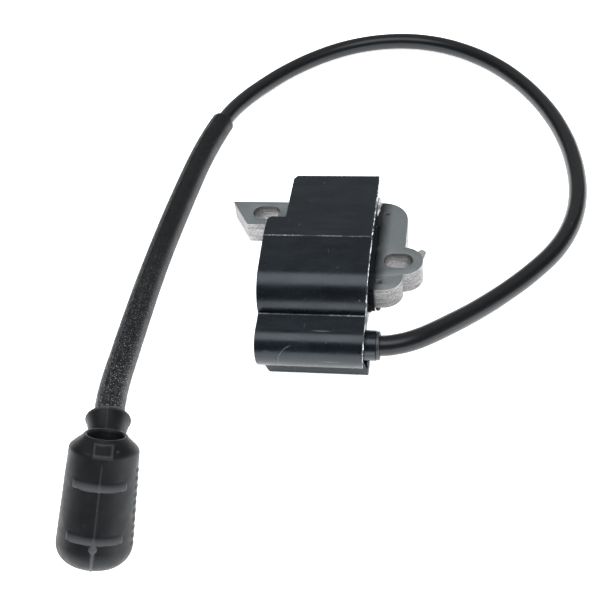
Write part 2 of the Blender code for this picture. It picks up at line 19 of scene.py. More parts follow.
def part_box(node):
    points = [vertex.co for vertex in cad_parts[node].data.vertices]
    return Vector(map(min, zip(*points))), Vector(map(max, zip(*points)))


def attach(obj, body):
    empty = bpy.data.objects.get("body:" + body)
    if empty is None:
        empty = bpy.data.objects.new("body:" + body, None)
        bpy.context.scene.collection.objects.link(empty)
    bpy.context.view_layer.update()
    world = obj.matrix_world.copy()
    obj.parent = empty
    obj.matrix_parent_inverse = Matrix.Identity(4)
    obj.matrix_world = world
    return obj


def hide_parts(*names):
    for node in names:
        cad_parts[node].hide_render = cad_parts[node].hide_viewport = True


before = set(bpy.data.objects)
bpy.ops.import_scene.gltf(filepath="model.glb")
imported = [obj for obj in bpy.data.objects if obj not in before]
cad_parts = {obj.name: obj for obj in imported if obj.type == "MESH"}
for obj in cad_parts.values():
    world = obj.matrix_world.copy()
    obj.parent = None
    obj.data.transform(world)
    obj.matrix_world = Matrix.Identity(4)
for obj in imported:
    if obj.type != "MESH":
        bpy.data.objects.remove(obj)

LOG = logging.getLogger("ignition_coil")
MM = 0.001
BODY = "root"

Point2 = tuple[float, float]
Colour = tuple[float, float, float]
Corner = tuple[float, float, float]
Socket = bpy.types.NodeSocket


# ------------------------------------------------------------------ materials


class Along(Enum):
    """What a pattern's coordinates follow."""

    OBJECT = "Object"
    SURFACE = "UV"


class Shade:
    """A material's node tree, with short calls for the nodes that the finishes share."""

    def __init__(self, name: str, roughness: float, metallic: float = 0.0) -> None:
        """Start a Principled material.

        Args:
            name: The material's name.
            roughness: Roughness of the bare surface.
            metallic: 1 for metal, 0 for anything else.
        """
        self.material = bpy.data.materials.new(name)
        self.material.use_nodes = True
        self.nodes = self.material.node_tree.nodes
        self.links = self.material.node_tree.links
        self.shader = self.nodes["Principled BSDF"]
        self.shader.inputs["Roughness"].default_value = roughness
        self.shader.inputs["Metallic"].default_value = metallic
        self.coordinates = self.nodes.new("ShaderNodeTexCoord")

    def fixed(self, **values: float | tuple[float, ...]) -> None:
        """Set values on the shader's own sockets, with _ for each space in a socket's name."""
        for name, value in values.items():
            self.shader.inputs[name.replace("_", " ")].default_value = value

    def place(self, along: Along, stretch: Sequence[float], turn: float = 0.0) -> Socket:
        """Coordinates for a pattern.

        Args:
            along: Which coordinates it follows.
            stretch: Factor on each axis; a small one makes a long streak.
            turn: Turn about Z, in degrees.

        Returns:
            The mapped vector.
        """
        mapping = self.nodes.new("ShaderNodeMapping")
        mapping.inputs["Scale"].default_value = stretch
        mapping.inputs["Rotation"].default_value = (0.0, 0.0, math.radians(turn))
        self.links.new(self.coordinates.outputs[along.value], mapping.inputs["Vector"])
        return mapping.outputs["Vector"]

    def clouds(
        self, scale: float, detail: float = 3.0, stretch: Sequence[float] = (1, 1, 1),
        along: Along = Along.OBJECT, turn: float = 0.0, rough: float = 0.5,
    ) -> Socket:
        """A noise pattern's value, from 0 to 1, with scale in repeats per metre.

        Args:
            scale: Repeats per metre.
            detail: How many finer layers it has.
            stretch: Factor on each axis.
            along: Which coordinates it follows.
            turn: Turn about Z, in degrees.
            rough: How strong the finer layers are.

        Returns:
            The value.
        """
        node = self.nodes.new("ShaderNodeTexNoise")
        node.inputs["Scale"].default_value = scale
        node.inputs["Detail"].default_value = detail
        node.inputs["Roughness"].default_value = rough
        self.links.new(self.place(along, stretch, turn), node.inputs["Vector"])
        return node.outputs["Fac"]

    def cells(
        self, scale: float, stretch: Sequence[float] = (1, 1, 1), along: Along = Along.OBJECT,
    ) -> Socket:
        """Distance to the nearest point of a scattered set, with scale in points per metre.

        Args:
            scale: Points per metre.
            stretch: Factor on each axis.
            along: Which coordinates it follows.

        Returns:
            The distance.
        """
        node = self.nodes.new("ShaderNodeTexVoronoi")
        node.inputs["Scale"].default_value = scale
        self.links.new(self.place(along, stretch), node.inputs["Vector"])
        return node.outputs["Distance"]

    def axis(self, name: str, along: Along = Along.OBJECT) -> Socket:
        """One coordinate of the surface: X, Y or Z.

        Args:
            name: X, Y or Z.
            along: Which coordinates it reads.

        Returns:
            The coordinate.
        """
        split = self.nodes.new("ShaderNodeSeparateXYZ")
        self.links.new(self.coordinates.outputs[along.value], split.inputs["Vector"])
        return split.outputs[name]

    def attribute(self, name: str) -> Socket:
        """A value that the mesh stores at each point.

        Args:
            name: The attribute's name.

        Returns:
            Its value.
        """
        node = self.nodes.new("ShaderNodeAttribute")
        node.attribute_name = name
        return node.outputs["Fac"]

    def remap(
        self, value: Socket, low: float, high: float, to_low: float = 0.0, to_high: float = 1.0,
    ) -> Socket:
        """Stretch a value's range low to high onto another range, clamped.

        Args:
            value: What is stretched.
            low: Start of its range.
            high: End of its range.
            to_low: What low becomes.
            to_high: What high becomes.

        Returns:
            The new value.
        """
        node = self.nodes.new("ShaderNodeMapRange")
        node.inputs["From Min"].default_value = low
        node.inputs["From Max"].default_value = high
        node.inputs["To Min"].default_value = to_low
        node.inputs["To Max"].default_value = to_high
        self.links.new(value, node.inputs["Value"])
        return node.outputs["Result"]

    def maths(self, operation: str, first: Socket, second: Socket | float = 0.0) -> Socket:
        """A Math node on a value and another value or number.

        Args:
            operation: The node's operation.
            first: The first value.
            second: The second value or number.

        Returns:
            The result.
        """
        node = self.nodes.new("ShaderNodeMath")
        node.operation = operation
        self.links.new(first, node.inputs[0])
        if isinstance(second, Socket):
            self.links.new(second, node.inputs[1])
        else:
            node.inputs[1].default_value = second
        return node.outputs["Value"]

    def blend(self, factor: Socket, first: Colour | Socket, second: Colour | Socket) -> Socket:
        """Mix two colours by a factor.

        Args:
            factor: 0 for the first colour, 1 for the second.
            first: A colour or a socket.
            second: A colour or a socket.

        Returns:
            The mixed colour.
        """
        node = self.nodes.new("ShaderNodeMix")
        node.data_type = "RGBA"
        self.links.new(factor, node.inputs["Factor"])
        for name, colour in (("A", first), ("B", second)):
            socket = next(s for s in node.inputs if s.name == name and s.type == "RGBA")
            if isinstance(colour, Socket):
                self.links.new(colour, socket)
            else:
                socket.default_value = (*colour, 1.0)
        return next(s for s in node.outputs if s.type == "RGBA")

    def distance(self, centre: Sequence[float], stretch: Sequence[float]) -> Socket:
        """Distance from a place in metres, with a factor on each axis that may leave one out.

        Args:
            centre: The place, in metres.
            stretch: Factor on each axis; 0 leaves it out.

        Returns:
            The distance.
        """
        mapping = self.nodes.new("ShaderNodeMapping")
        mapping.inputs["Scale"].default_value = stretch
        mapping.inputs["Location"].default_value = [-c * s for c, s in zip(centre, stretch)]
        self.links.new(self.coordinates.outputs["Object"], mapping.inputs["Vector"])
        length = self.nodes.new("ShaderNodeVectorMath")
        length.operation = "LENGTH"
        self.links.new(mapping.outputs["Vector"], length.inputs[0])
        return length.outputs["Value"]

    def ring(self, centre: Sequence[float], radius: float, width: float, stretch: Sequence[float]) -> Socket:
        """A thin circular mark round a place, as a mask.

        Args:
            centre: Its middle, in metres.
            radius: Its radius, in metres.
            width: The line's width, in metres.
            stretch: Factor on each axis before the distance is taken; 0 leaves an axis out.

        Returns:
            1 on the line and 0 away from it.
        """
        off = self.maths("ABSOLUTE", self.maths("SUBTRACT", self.distance(centre, stretch), radius))
        return self.remap(off, width / 2, width, 1.0, 0.0)

    def colour(self, value: Socket) -> None:
        """Join a colour to the shader."""
        self.links.new(value, self.shader.inputs["Base Color"])

    def rough(self, value: Socket) -> None:
        """Join a roughness to the shader."""
        self.links.new(value, self.shader.inputs["Roughness"])

    def relief(self, *layers: tuple[Socket, float, float]) -> None:
        """Stack bumps on the surface, each a height, a strength and a depth in metres."""
        previous = None
        for height, strength, depth in layers:
            node = self.nodes.new("ShaderNodeBump")
            node.inputs["Strength"].default_value = strength
            node.inputs["Distance"].default_value = depth
            self.links.new(height, node.inputs["Height"])
            if previous:
                self.links.new(previous, node.inputs["Normal"])
            previous = node.outputs["Normal"]
        self.links.new(previous, self.shader.inputs["Normal"])


@dataclass(frozen=True)
class HousingPlastic:
    """Satin black moulded plastic with fine glass fibre, a few scuffs and settled dust."""

    black: Colour = (0.0016, 0.0023, 0.0031)
    fibre: Colour = (0.0040, 0.0052, 0.0066)
    scuff: Colour = (0.16, 0.175, 0.19)
    roughness: Point2 = (0.23, 0.33)

    def make(self) -> bpy.types.Material:
        """Build the material.

        Returns:
            The material.
        """
        shade = Shade("housing_plastic", 0.32)
        shade.fixed(Specular_IOR_Level=0.5, Specular_Tint=(0.80, 0.90, 1.0, 1.0))
        flow = shade.clouds(260, 5, (0.35, 1, 1), rough=0.62)
        base = shade.blend(shade.remap(flow, 0.42, 0.68), self.black, self.fibre)
        patch = shade.remap(shade.clouds(85, 2), 0.50, 0.66)
        streak = shade.remap(shade.clouds(900, 2, (0.04, 1, 1), turn=23), 0.71, 0.76)
        cross = shade.remap(shade.clouds(800, 2, (1, 0.05, 0.6), turn=-37), 0.72, 0.77)
        lines = shade.maths("MULTIPLY", shade.maths("MAXIMUM", streak, cross), patch)
        dust = shade.remap(shade.cells(420), 0.05, 0.085, 1.0, 0.0)
        sparse = shade.remap(shade.clouds(150, 1), 0.60, 0.64)
        specks = shade.maths("MULTIPLY", dust, sparse)
        lobe_arc = shade.ring((-0.0052, 0.0, 0.0112), 0.0058, 0.00009, (1, 0, 1))
        low_arc = shade.ring((-0.0018, 0.0, 0.0035), 0.0052, 0.0001, (1, 0, 1))
        left = shade.remap(shade.axis("X"), -0.0062, -0.0075)
        low_left = shade.maths("MULTIPLY", left, shade.remap(shade.axis("Y"), -0.0295, -0.0290, 1.0, 0.0))
        broken = shade.remap(shade.clouds(520, 2), 0.44, 0.52)
        arcs = shade.maths("MULTIPLY", shade.maths("MAXIMUM", lobe_arc, low_arc), low_left)
        arcs = shade.maths("MULTIPLY", arcs, broken)
        marks = shade.maths("MAXIMUM", shade.maths("MAXIMUM", lines, specks), arcs)
        faint = shade.maths("MULTIPLY", marks, 0.55)
        shade.colour(shade.blend(faint, base, self.scuff))
        gloss = shade.remap(shade.clouds(120, 4), 0.3, 0.7, *self.roughness)
        shade.rough(shade.maths("ADD", gloss, shade.maths("MULTIPLY", marks, 0.2)))
        ripple = shade.clouds(700, 4, (0.5, 1, 1))
        grain = shade.clouds(5200, 2)
        shade.relief((ripple, 0.16, 0.00003), (grain, 0.22, 0.000012))
        return shade.material


@dataclass(frozen=True)
class ScuffedEdge:
    """The same plastic along its edges, where handling has turned it grey in patches."""

    black: Colour = (0.012, 0.014, 0.017)
    worn: Colour = (0.15, 0.165, 0.18)

    def make(self) -> bpy.types.Material:
        """Build the material.

        Returns:
            The material.
        """
        shade = Shade("housing_edge", 0.42)
        patchy = shade.remap(shade.clouds(340, 4, (0.35, 1, 1)), 0.40, 0.62)
        nick = shade.remap(shade.clouds(1700, 2), 0.52, 0.64)
        factor = shade.maths("MULTIPLY", patchy, shade.maths("ADD", nick, 0.35))
        shade.colour(shade.blend(factor, self.black, self.worn))
        shade.rough(shade.remap(shade.clouds(700, 2), 0.3, 0.7, 0.34, 0.56))
        shade.relief((shade.clouds(2200, 3), 0.5, 0.00005))
        return shade.material


@dataclass(frozen=True)
class FlashRim:
    """Thin torn flash and crumbs of clear resin along a cut moulding edge."""

    dark: Colour = (0.03, 0.032, 0.036)
    pale: Colour = (0.62, 0.64, 0.68)

    def make(self) -> bpy.types.Material:
        """Build the material.

        Returns:
            The material.
        """
        shade = Shade("torn_flash", 0.3)
        chips = shade.remap(shade.clouds(620, 4), 0.44, 0.60)
        shade.colour(shade.blend(chips, self.dark, self.pale))
        shade.rough(shade.remap(shade.clouds(1500, 2), 0.3, 0.7, 0.2, 0.5))
        shade.relief((shade.clouds(1800, 3), 0.6, 0.00008))
        return shade.material


@dataclass(frozen=True)
class SheetFace:
    """Rolled face of electrical steel: satin bluish grey with a faint grain and oil stains, and a painted
    dark reflection of the black housing's end on the steel beside that end.
    """

    steel: Colour = (0.335, 0.37, 0.38)
    pale: Colour = (0.365, 0.40, 0.41)
    stain: Colour = (0.20, 0.18, 0.185)
    # The near-black colour below is painted: a dark reflection of the housing's end on the steel, not the
    # steel's own colour.
    reflection_dark: Colour = (0.03, 0.027, 0.026)
    reflection_from: float = 0.0202
    reflection_to: float = 0.0242
    window_edge: float = 0.001

    def make(self) -> bpy.types.Material:
        """Build the material.

        Returns:
            The material.
        """
        shade = Shade("sheet_face", 0.46, 1.0)
        grain = shade.clouds(1500, 5, (0.6, 1, 1), rough=0.6)
        base = shade.blend(shade.remap(grain, 0.35, 0.68), self.steel, self.pale)
        blot = shade.remap(shade.clouds(95, 4), 0.60, 0.72)
        base = shade.blend(shade.maths("MULTIPLY", blot, 0.4), base, self.stain)
        # Painted reflection: the steel is darkened in a band beside the housing's end, fading away from it.
        painted_end_darkening = shade.remap(shade.axis("X"), self.reflection_from, self.reflection_to, 0.9, 0.0)
        beyond = shade.remap(shade.axis("X"), 0.0, self.window_edge)
        reflection_band = shade.maths("MULTIPLY", painted_end_darkening, beyond)
        painted_reflection = shade.maths("MULTIPLY", reflection_band, shade.remap(shade.clouds(210, 2), -0.3, 0.5))
        shade.colour(shade.blend(painted_reflection, base, self.reflection_dark))
        shade.rough(shade.remap(shade.clouds(210, 4), 0.3, 0.7, 0.42, 0.54))
        rolled, fine = shade.clouds(2600, 3, (0.3, 1, 1)), shade.clouds(6500, 2)
        shade.relief((rolled, 0.08, 0.00002), (fine, 0.15, 0.00001))
        return shade.material


@dataclass(frozen=True)
class ShearedEdge:
    """Punched edges of the sheets: burnish above, broken grey below, fine lines and a speckled burr.

    Painted shade darkens each slot's wall near its top, and a painted shadow darkens the band beside the
    housing's end.
    """

    pitch: float = 0.70 * MM
    bright: Colour = (0.62, 0.61, 0.615)
    torn: Colour = (0.40, 0.39, 0.393)
    # dark serves both the real fine lines and drag marks and the painted shade in the slots and beside the
    # housing's end.
    dark: Colour = (0.06, 0.055, 0.057)
    top: float = 0.0252
    slot_shade_band: Point2 = (0.0045, 0.0008)
    slot_shade_reach: Point2 = (0.0053, 0.0056)
    end: float = 0.0197
    end_shadow_band: Point2 = (0.0006, 0.0014)
    slots: tuple[Point2, Point2] = ((0.02785, 0.00111), (-0.0229, 0.02575))

    def make(self) -> bpy.types.Material:
        """Build the material.

        Returns:
            The material.
        """
        shade = Shade("sheared_edge", 0.48, 0.75)
        phase = shade.maths("FRACT", shade.maths("DIVIDE", shade.axis("Z"), self.pitch))
        zone = shade.remap(phase, 0.35, 0.75)
        base = shade.blend(zone, self.torn, self.bright)
        lines = shade.remap(shade.clouds(2300, 2, (0.08, 0.08, 1)), 0.40, 0.60)
        base = shade.blend(shade.maths("MULTIPLY", lines, 0.45), base, self.dark)
        drag = shade.remap(shade.clouds(2600, 3), 0.50, 0.64)
        base = shade.blend(shade.maths("MULTIPLY", drag, 0.7), base, self.dark)
        # Painted shade: each slot's wall is darkened near the top of the stack.
        high = shade.remap(shade.axis("Z"), self.top - self.slot_shade_band[0], self.top - self.slot_shade_band[1], 0.0, 0.85)
        for centre in self.slots:
            in_slot_shade = shade.remap(shade.distance((*centre, 0.0), (1, 1, 0)), *self.slot_shade_reach, 1.0, 0.0)
            base = shade.blend(shade.maths("MULTIPLY", in_slot_shade, high), base, self.dark)
        # Painted shadow: the edges beside the housing's end are darkened.
        painted_end_darkening = shade.remap(shade.distance((self.end, 0.0, 0.0), (1, 0, 0)), *self.end_shadow_band, 0.85, 0.0)
        shade.colour(shade.blend(painted_end_darkening, base, self.dark))
        shade.rough(shade.remap(shade.clouds(1800, 2), 0.3, 0.7, 0.36, 0.6))
        shade.relief((shade.clouds(2400, 3, (1, 1, 0.3)), 0.6, 0.00005))
        return shade.material


@dataclass(frozen=True)
class LeadJacket:
    """Glossy black extruded jacket with faint die lines and a little lint."""

    black: Colour = (0.0028, 0.0030, 0.0034)
    dust: Colour = (0.09, 0.092, 0.096)

    def make(self) -> bpy.types.Material:
        """Build the material.

        Returns:
            The material.
        """
        shade = Shade("lead_jacket", 0.3)
        shade.fixed(Specular_IOR_Level=0.42, Specular_Tint=(0.88, 0.94, 1.0, 1.0))
        lint = shade.remap(shade.cells(520, (1, 0.4, 1), Along.SURFACE), 0.04, 0.07, 1.0, 0.0)
        some = shade.remap(shade.clouds(60, 2, along=Along.SURFACE), 0.56, 0.62)
        shade.colour(shade.blend(shade.maths("MULTIPLY", lint, some), self.black, self.dust))
        shade.rough(shade.remap(shade.clouds(260, 4, (1, 0.05, 1), Along.SURFACE), 0.3, 0.7, 0.29, 0.36))
        die = shade.clouds(1500, 3, (1, 0.012, 1), Along.SURFACE)
        wave = shade.clouds(95, 2, (0.4, 1, 1), Along.SURFACE)
        shade.relief((wave, 0.10, 0.00012), (die, 0.05, 0.00002))
        return shade.material


@dataclass(frozen=True)
class SleeveRubber:
    """Matt black sleeve rubber with a granular skin, with pale painted glints on its grains that grow denser
    towards the boot.
    """

    black: Colour = (0.0016, 0.0018, 0.0021)
    glint_grey: Colour = (0.22, 0.23, 0.24)
    glint_from: float = 0.03
    glint_to: float = -0.055

    def make(self) -> bpy.types.Material:
        """Build the material.

        Returns:
            The material.
        """
        shade = Shade("sleeve_rubber", 0.6)
        shade.fixed(Specular_IOR_Level=0.32, Specular_Tint=(0.88, 0.93, 1.0, 1.0))
        # Painted glints: pale specks on the grains stand in for their sparkle, denser towards the boot.
        grains = shade.remap(shade.clouds(2100, 1, along=Along.SURFACE), 0.60, 0.71)
        near = shade.remap(shade.axis("Y"), self.glint_from, self.glint_to, 0.07, 1.0)
        painted_glints = shade.maths("MULTIPLY", grains, near)
        shade.colour(shade.blend(painted_glints, self.black, self.glint_grey))
        shade.rough(shade.remap(shade.clouds(160, 3, along=Along.SURFACE), 0.3, 0.7, 0.40, 0.52))
        skin = shade.clouds(2100, 2, along=Along.SURFACE)
        shade.relief((skin, 0.9, 0.0002))
        return shade.material


@dataclass(frozen=True)
class BootRubber:
    """Dull dark grey moulded rubber, paler where its relief stands proud."""

    black: Colour = (0.0013, 0.0014, 0.0017)
    pale: Colour = (0.046, 0.048, 0.052)
    bloom: Colour = (0.0034, 0.0036, 0.0042)

    def make(self) -> bpy.types.Material:
        """Build the material.

        Returns:
            The material.
        """
        shade = Shade("boot_rubber", 0.5)
        shade.fixed(Sheen_Weight=0.04, Sheen_Roughness=0.3, Specular_IOR_Level=0.3,
                    Specular_Tint=(0.88, 0.93, 1.0, 1.0))
        mottled = shade.remap(shade.clouds(170, 5), 0.38, 0.70)
        base = shade.blend(mottled, self.black, self.bloom)
        proud = shade.remap(shade.attribute("relief"), 0.05, 0.5)
        base = shade.blend(shade.maths("MULTIPLY", proud, 0.75), base, self.pale)
        dust = shade.remap(shade.cells(520), 0.05, 0.09, 1.0, 0.0)
        some = shade.remap(shade.clouds(210, 1), 0.58, 0.64)
        shade.colour(shade.blend(shade.maths("MULTIPLY", dust, some), base, self.pale))
        shade.rough(shade.remap(shade.clouds(320, 3), 0.3, 0.7, 0.44, 0.58))
        shade.relief((shade.clouds(420, 3), 0.25, 0.00008), (shade.clouds(2600, 2), 0.45, 0.00005))
        return shade.material


@dataclass(frozen=True)
class PlainFinish:
    """A finish for the smaller pieces: two close tones, uneven gloss and a fine grain.

    streak below 1 draws the pattern out along X, as on wire turns or a machined face.
    """

    name: str
    tone: Colour
    second: Colour
    roughness: float
    metallic: float = 0.0
    scale: float = 300.0
    streak: float = 1.0
    grain: float = 2500.0
    depth: float = 0.00003

    def make(self) -> bpy.types.Material:
        """Build the material.

        Returns:
            The material.
        """
        shade = Shade(self.name, self.roughness, self.metallic)
        cloud = shade.clouds(self.scale, 4, (self.streak, 1, 1))
        shade.colour(shade.blend(shade.remap(cloud, 0.38, 0.66), self.tone, self.second))
        spread = self.roughness * 0.25
        shade.rough(shade.remap(
            shade.clouds(self.scale * 2, 3), 0.3, 0.7, self.roughness - spread, self.roughness + spread
        ))
        shade.relief((shade.clouds(self.grain, 3, (self.streak, 1, 1)), 0.35, self.depth))
        return shade.material


@dataclass(frozen=True)
class FloorPaper:
    """Plain pale paper on a light table, which keeps the shadows faint."""

    white: Colour = (0.86, 0.865, 0.87)
    shade_white: Colour = (0.83, 0.835, 0.84)
    glow: float = 0.7

    def make(self) -> bpy.types.Material:
        """Build the material.

        Returns:
            The material.
        """
        shade = Shade("floor_paper", 0.85)
        shade.fixed(Specular_IOR_Level=0.2, Emission_Strength=self.glow, Emission_Color=(*self.white, 1.0))
        shade.colour(shade.blend(shade.clouds(9, 2), self.white, self.shade_white))
        shade.relief((shade.clouds(900, 3), 0.05, 0.0001))
        return shade.material


SMALL_FINISHES = {
    "potting_resin": PlainFinish(
        "potting_resin", (0.010, 0.010, 0.011), (0.022, 0.022, 0.024), 0.18, scale=120),
    "bobbin_nylon": PlainFinish("bobbin_nylon", (0.55, 0.50, 0.40), (0.48, 0.43, 0.33), 0.45),
    "enamelled_copper": PlainFinish(
        "enamelled_copper", (0.55, 0.20, 0.08), (0.42, 0.13, 0.05), 0.33, 1.0, 900, 4.0, 5200, 0.0001),
    "fine_copper": PlainFinish(
        "fine_copper", (0.48, 0.17, 0.07), (0.36, 0.11, 0.04), 0.38, 1.0, 1500, 4.0, 9000, 0.00005),
    "board_laminate": PlainFinish(
        "board_laminate", (0.045, 0.15, 0.065), (0.03, 0.11, 0.045), 0.42, grain=3500),
    "capacitor_film": PlainFinish("capacitor_film", (0.45, 0.06, 0.03), (0.36, 0.04, 0.02), 0.3, scale=180),
    "component_epoxy": PlainFinish("component_epoxy", (0.018, 0.018, 0.019), (0.032, 0.032, 0.033), 0.42),
    "resistor_lacquer": PlainFinish("resistor_lacquer", (0.62, 0.50, 0.33), (0.55, 0.43, 0.27), 0.35),
    "tinned_brass": PlainFinish(
        "tinned_brass", (0.46, 0.47, 0.46), (0.36, 0.37, 0.37), 0.42, 0.85, 500, 0.3, 3000, 0.00003),
    "terminal_brass": PlainFinish(
        "terminal_brass", (0.66, 0.48, 0.20), (0.56, 0.39, 0.15), 0.3, 1.0, 500, 0.3, 3000, 0.00003),
    "spring_steel": PlainFinish(
        "spring_steel", (0.50, 0.50, 0.51), (0.38, 0.38, 0.40), 0.28, 1.0, 900, 1.0, 4000, 0.00002),
    # The dimples' steel is painted near black: painted shade in the interlock hollows, not the steel's own
    # colour.
    "shaded_dimple_steel": PlainFinish(
        "shaded_dimple_steel", (0.03, 0.03, 0.032), (0.09, 0.09, 0.095), 0.35, 0.9, 1200, 1.0, 4000, 0.00003),
    "bush_rubber": PlainFinish("bush_rubber", (0.010, 0.011, 0.013), (0.022, 0.024, 0.028), 0.38, scale=350),
    "sealing_resin": PlainFinish("sealing_resin", (0.66, 0.68, 0.73), (0.10, 0.105, 0.115), 0.22, scale=650),
}


# ------------------------------------------------------------- mesh and nodes


def put(name: str, mesh: bpy.types.Mesh, *materials: bpy.types.Material) -> bpy.types.Object:
    """Link a mesh into the scene as a named piece with its materials.

    Args:
        name: The piece's name.
        mesh: Its mesh, already in the frame's own place.
        materials: One for each material slot, in order.

    Returns:
        The new object.
    """
    for material in materials:
        mesh.materials.append(material)
    piece = bpy.data.objects.new(name, mesh)
    bpy.context.scene.collection.objects.link(piece)
    return piece


def mesh_of(name: str, points: np.ndarray | Sequence, faces: Sequence[Sequence[int]]) -> bpy.types.Mesh:
    """A mesh from points and faces, with its faces turned outwards.

    Args:
        name: The mesh's name.
        points: Its points, in metres.
        faces: Point numbers of each face.

    Returns:
        The mesh.
    """
    mesh = bpy.data.meshes.new(name)
    mesh.from_pydata([tuple(p) for p in points], [], [tuple(f) for f in faces])
    shape = bmesh.new()
    shape.from_mesh(mesh)
    bmesh.ops.remove_doubles(shape, verts=shape.verts, dist=1e-7)
    bmesh.ops.recalc_face_normals(shape, faces=shape.faces)
    shape.to_mesh(mesh)
    shape.free()
    return mesh


def evaluated(piece: bpy.types.Object) -> bpy.types.Mesh:
    """The piece's mesh with its modifiers worked in.

    Args:
        piece: The piece.

    Returns:
        A new mesh.
    """
    graph = bpy.context.evaluated_depsgraph_get()
    graph.update()
    return bpy.data.meshes.new_from_object(piece.evaluated_get(graph))


def bake_modifiers(piece: bpy.types.Object) -> None:
    """Replace the piece's mesh by the evaluated one and drop its modifiers.

    Args:
        piece: The piece.
    """
    mesh = evaluated(piece)
    piece.modifiers.clear()
    piece.data = mesh


def carve(piece: bpy.types.Object, cutter: bpy.types.Mesh, operation: str = "DIFFERENCE") -> None:
    """Cut a mesh out of a piece, or join it on, at once.

    Args:
        piece: What is cut.
        cutter: The mesh that cuts or joins.
        operation: The Boolean modifier's operation.
    """
    tool = bpy.data.objects.new("tool", cutter)
    bpy.context.scene.collection.objects.link(tool)
    step = piece.modifiers.new("carve", "BOOLEAN")
    step.operation = operation
    step.solver = "EXACT"
    step.object = tool
    bake_modifiers(piece)
    bpy.data.objects.remove(tool)


def smooth(piece: bpy.types.Object, sharp: float = 35.0) -> None:
    """Shade a piece smooth but for edges sharper than an angle in degrees."""
    piece.data.shade_smooth()
    piece.data.set_sharp_from_angle(angle=math.radians(sharp))


def arc(centre: Point2, radius: float, start: float, end: float, steps: int) -> list[Point2]:
    """Points on an arc by angles in degrees, both ends included."""
    turns = [math.radians(start + (end - start) * i / steps) for i in range(steps + 1)]
    return [(centre[0] + radius * math.cos(a), centre[1] + radius * math.sin(a)) for a in turns]


def slab(name: str, outline: Sequence[Sequence[float]], across: Callable[[float, float, float], Vector],
         low: float, high: float) -> bpy.types.Mesh:
    """An outline drawn out between two levels.

    Args:
        name: The mesh's name.
        outline: Points of the outline.
        across: Gives the place of an outline point at a level.
        low: First level.
        high: Last level.

    Returns:
        The closed mesh.
    """
    count = len(outline)
    points = [across(a, b, low) for a, b in outline] + [across(a, b, high) for a, b in outline]
    faces = [[i, (i + 1) % count, (i + 1) % count + count, i + count] for i in range(count)]
    faces += [list(range(count)), list(range(count, 2 * count))]
    return mesh_of(name, points, faces)


def block(name: str, low: Sequence[float], high: Sequence[float], origin: Vector) -> bpy.types.Mesh:
    """A box between two corners, in millimetres from an origin."""
    outline = [(low[0], low[1]), (high[0], low[1]), (high[0], high[1]), (low[0], high[1])]
    return slab(name, outline, lambda x, y, z: origin + Vector((x, y, z)) * MM, low[2], high[2])


def turned(name: str, profile: Sequence[Point2], place: Matrix, segments: int = 96) -> bpy.types.Mesh:
    """A profile of (height, radius) points, in millimetres, turned about Z and then placed.

    Args:
        name: The mesh's name.
        profile: Points from one end to the other; a radius of 0 closes on the axis.
        place: Where the turned shape's own frame is.
        segments: Points round it.

    Returns:
        The mesh, closed along its profile too if neither end is on the axis.
    """
    angles = np.linspace(0, math.tau, segments, endpoint=False)
    height = np.array([p[0] for p in profile]) * MM
    radius = np.array([p[1] for p in profile]) * MM
    points = np.stack([
        np.outer(radius, np.cos(angles)),
        np.outer(radius, np.sin(angles)),
        np.repeat(height[:, None], segments, 1),
    ], -1).reshape(-1, 3)
    rings = len(profile)
    looped = profile[0][1] > 0 and profile[-1][1] > 0
    faces = []
    for i in range(rings if looped else rings - 1):
        a, b = i * segments, (i + 1) % rings * segments
        faces += [[a + j, a + (j + 1) % segments, b + (j + 1) % segments, b + j] for j in range(segments)]
    mesh = mesh_of(name, points, faces)
    mesh.transform(place)
    return mesh


def along_x(origin: Vector, y: float, z: float) -> Matrix:
    """A frame whose Z is the core's X, at a distance and height in millimetres from an origin."""
    return Matrix.Translation(origin + Vector((0, y, z)) * MM) @ Matrix.Rotation(math.pi / 2, 4, "Y")


def smooth_route(points: Sequence[Sequence[float]], step: float) -> np.ndarray:
    """Points about a step apart on the smooth curve through a route.

    Args:
        points: The route's own points.
        step: Distance between points, in the unit of the route.

    Returns:
        The points, one row each.
    """
    route = [Vector(p) for p in points]
    ends = [route[0] * 2 - route[1]] + route + [route[-1] * 2 - route[-2]]
    found = [route[0]]
    for i in range(len(route) - 1):
        a, b, c, d = ends[i:i + 4]
        parts = max(1, round((c - b).length / step))
        for part in range(1, parts + 1):
            t = part / parts
            found.append(0.5 * (
                2 * b + (c - a) * t + (2 * a - 5 * b + 4 * c - d) * t * t + (3 * b - a - 3 * c + d) * t ** 3
            ))
    return np.array(found)


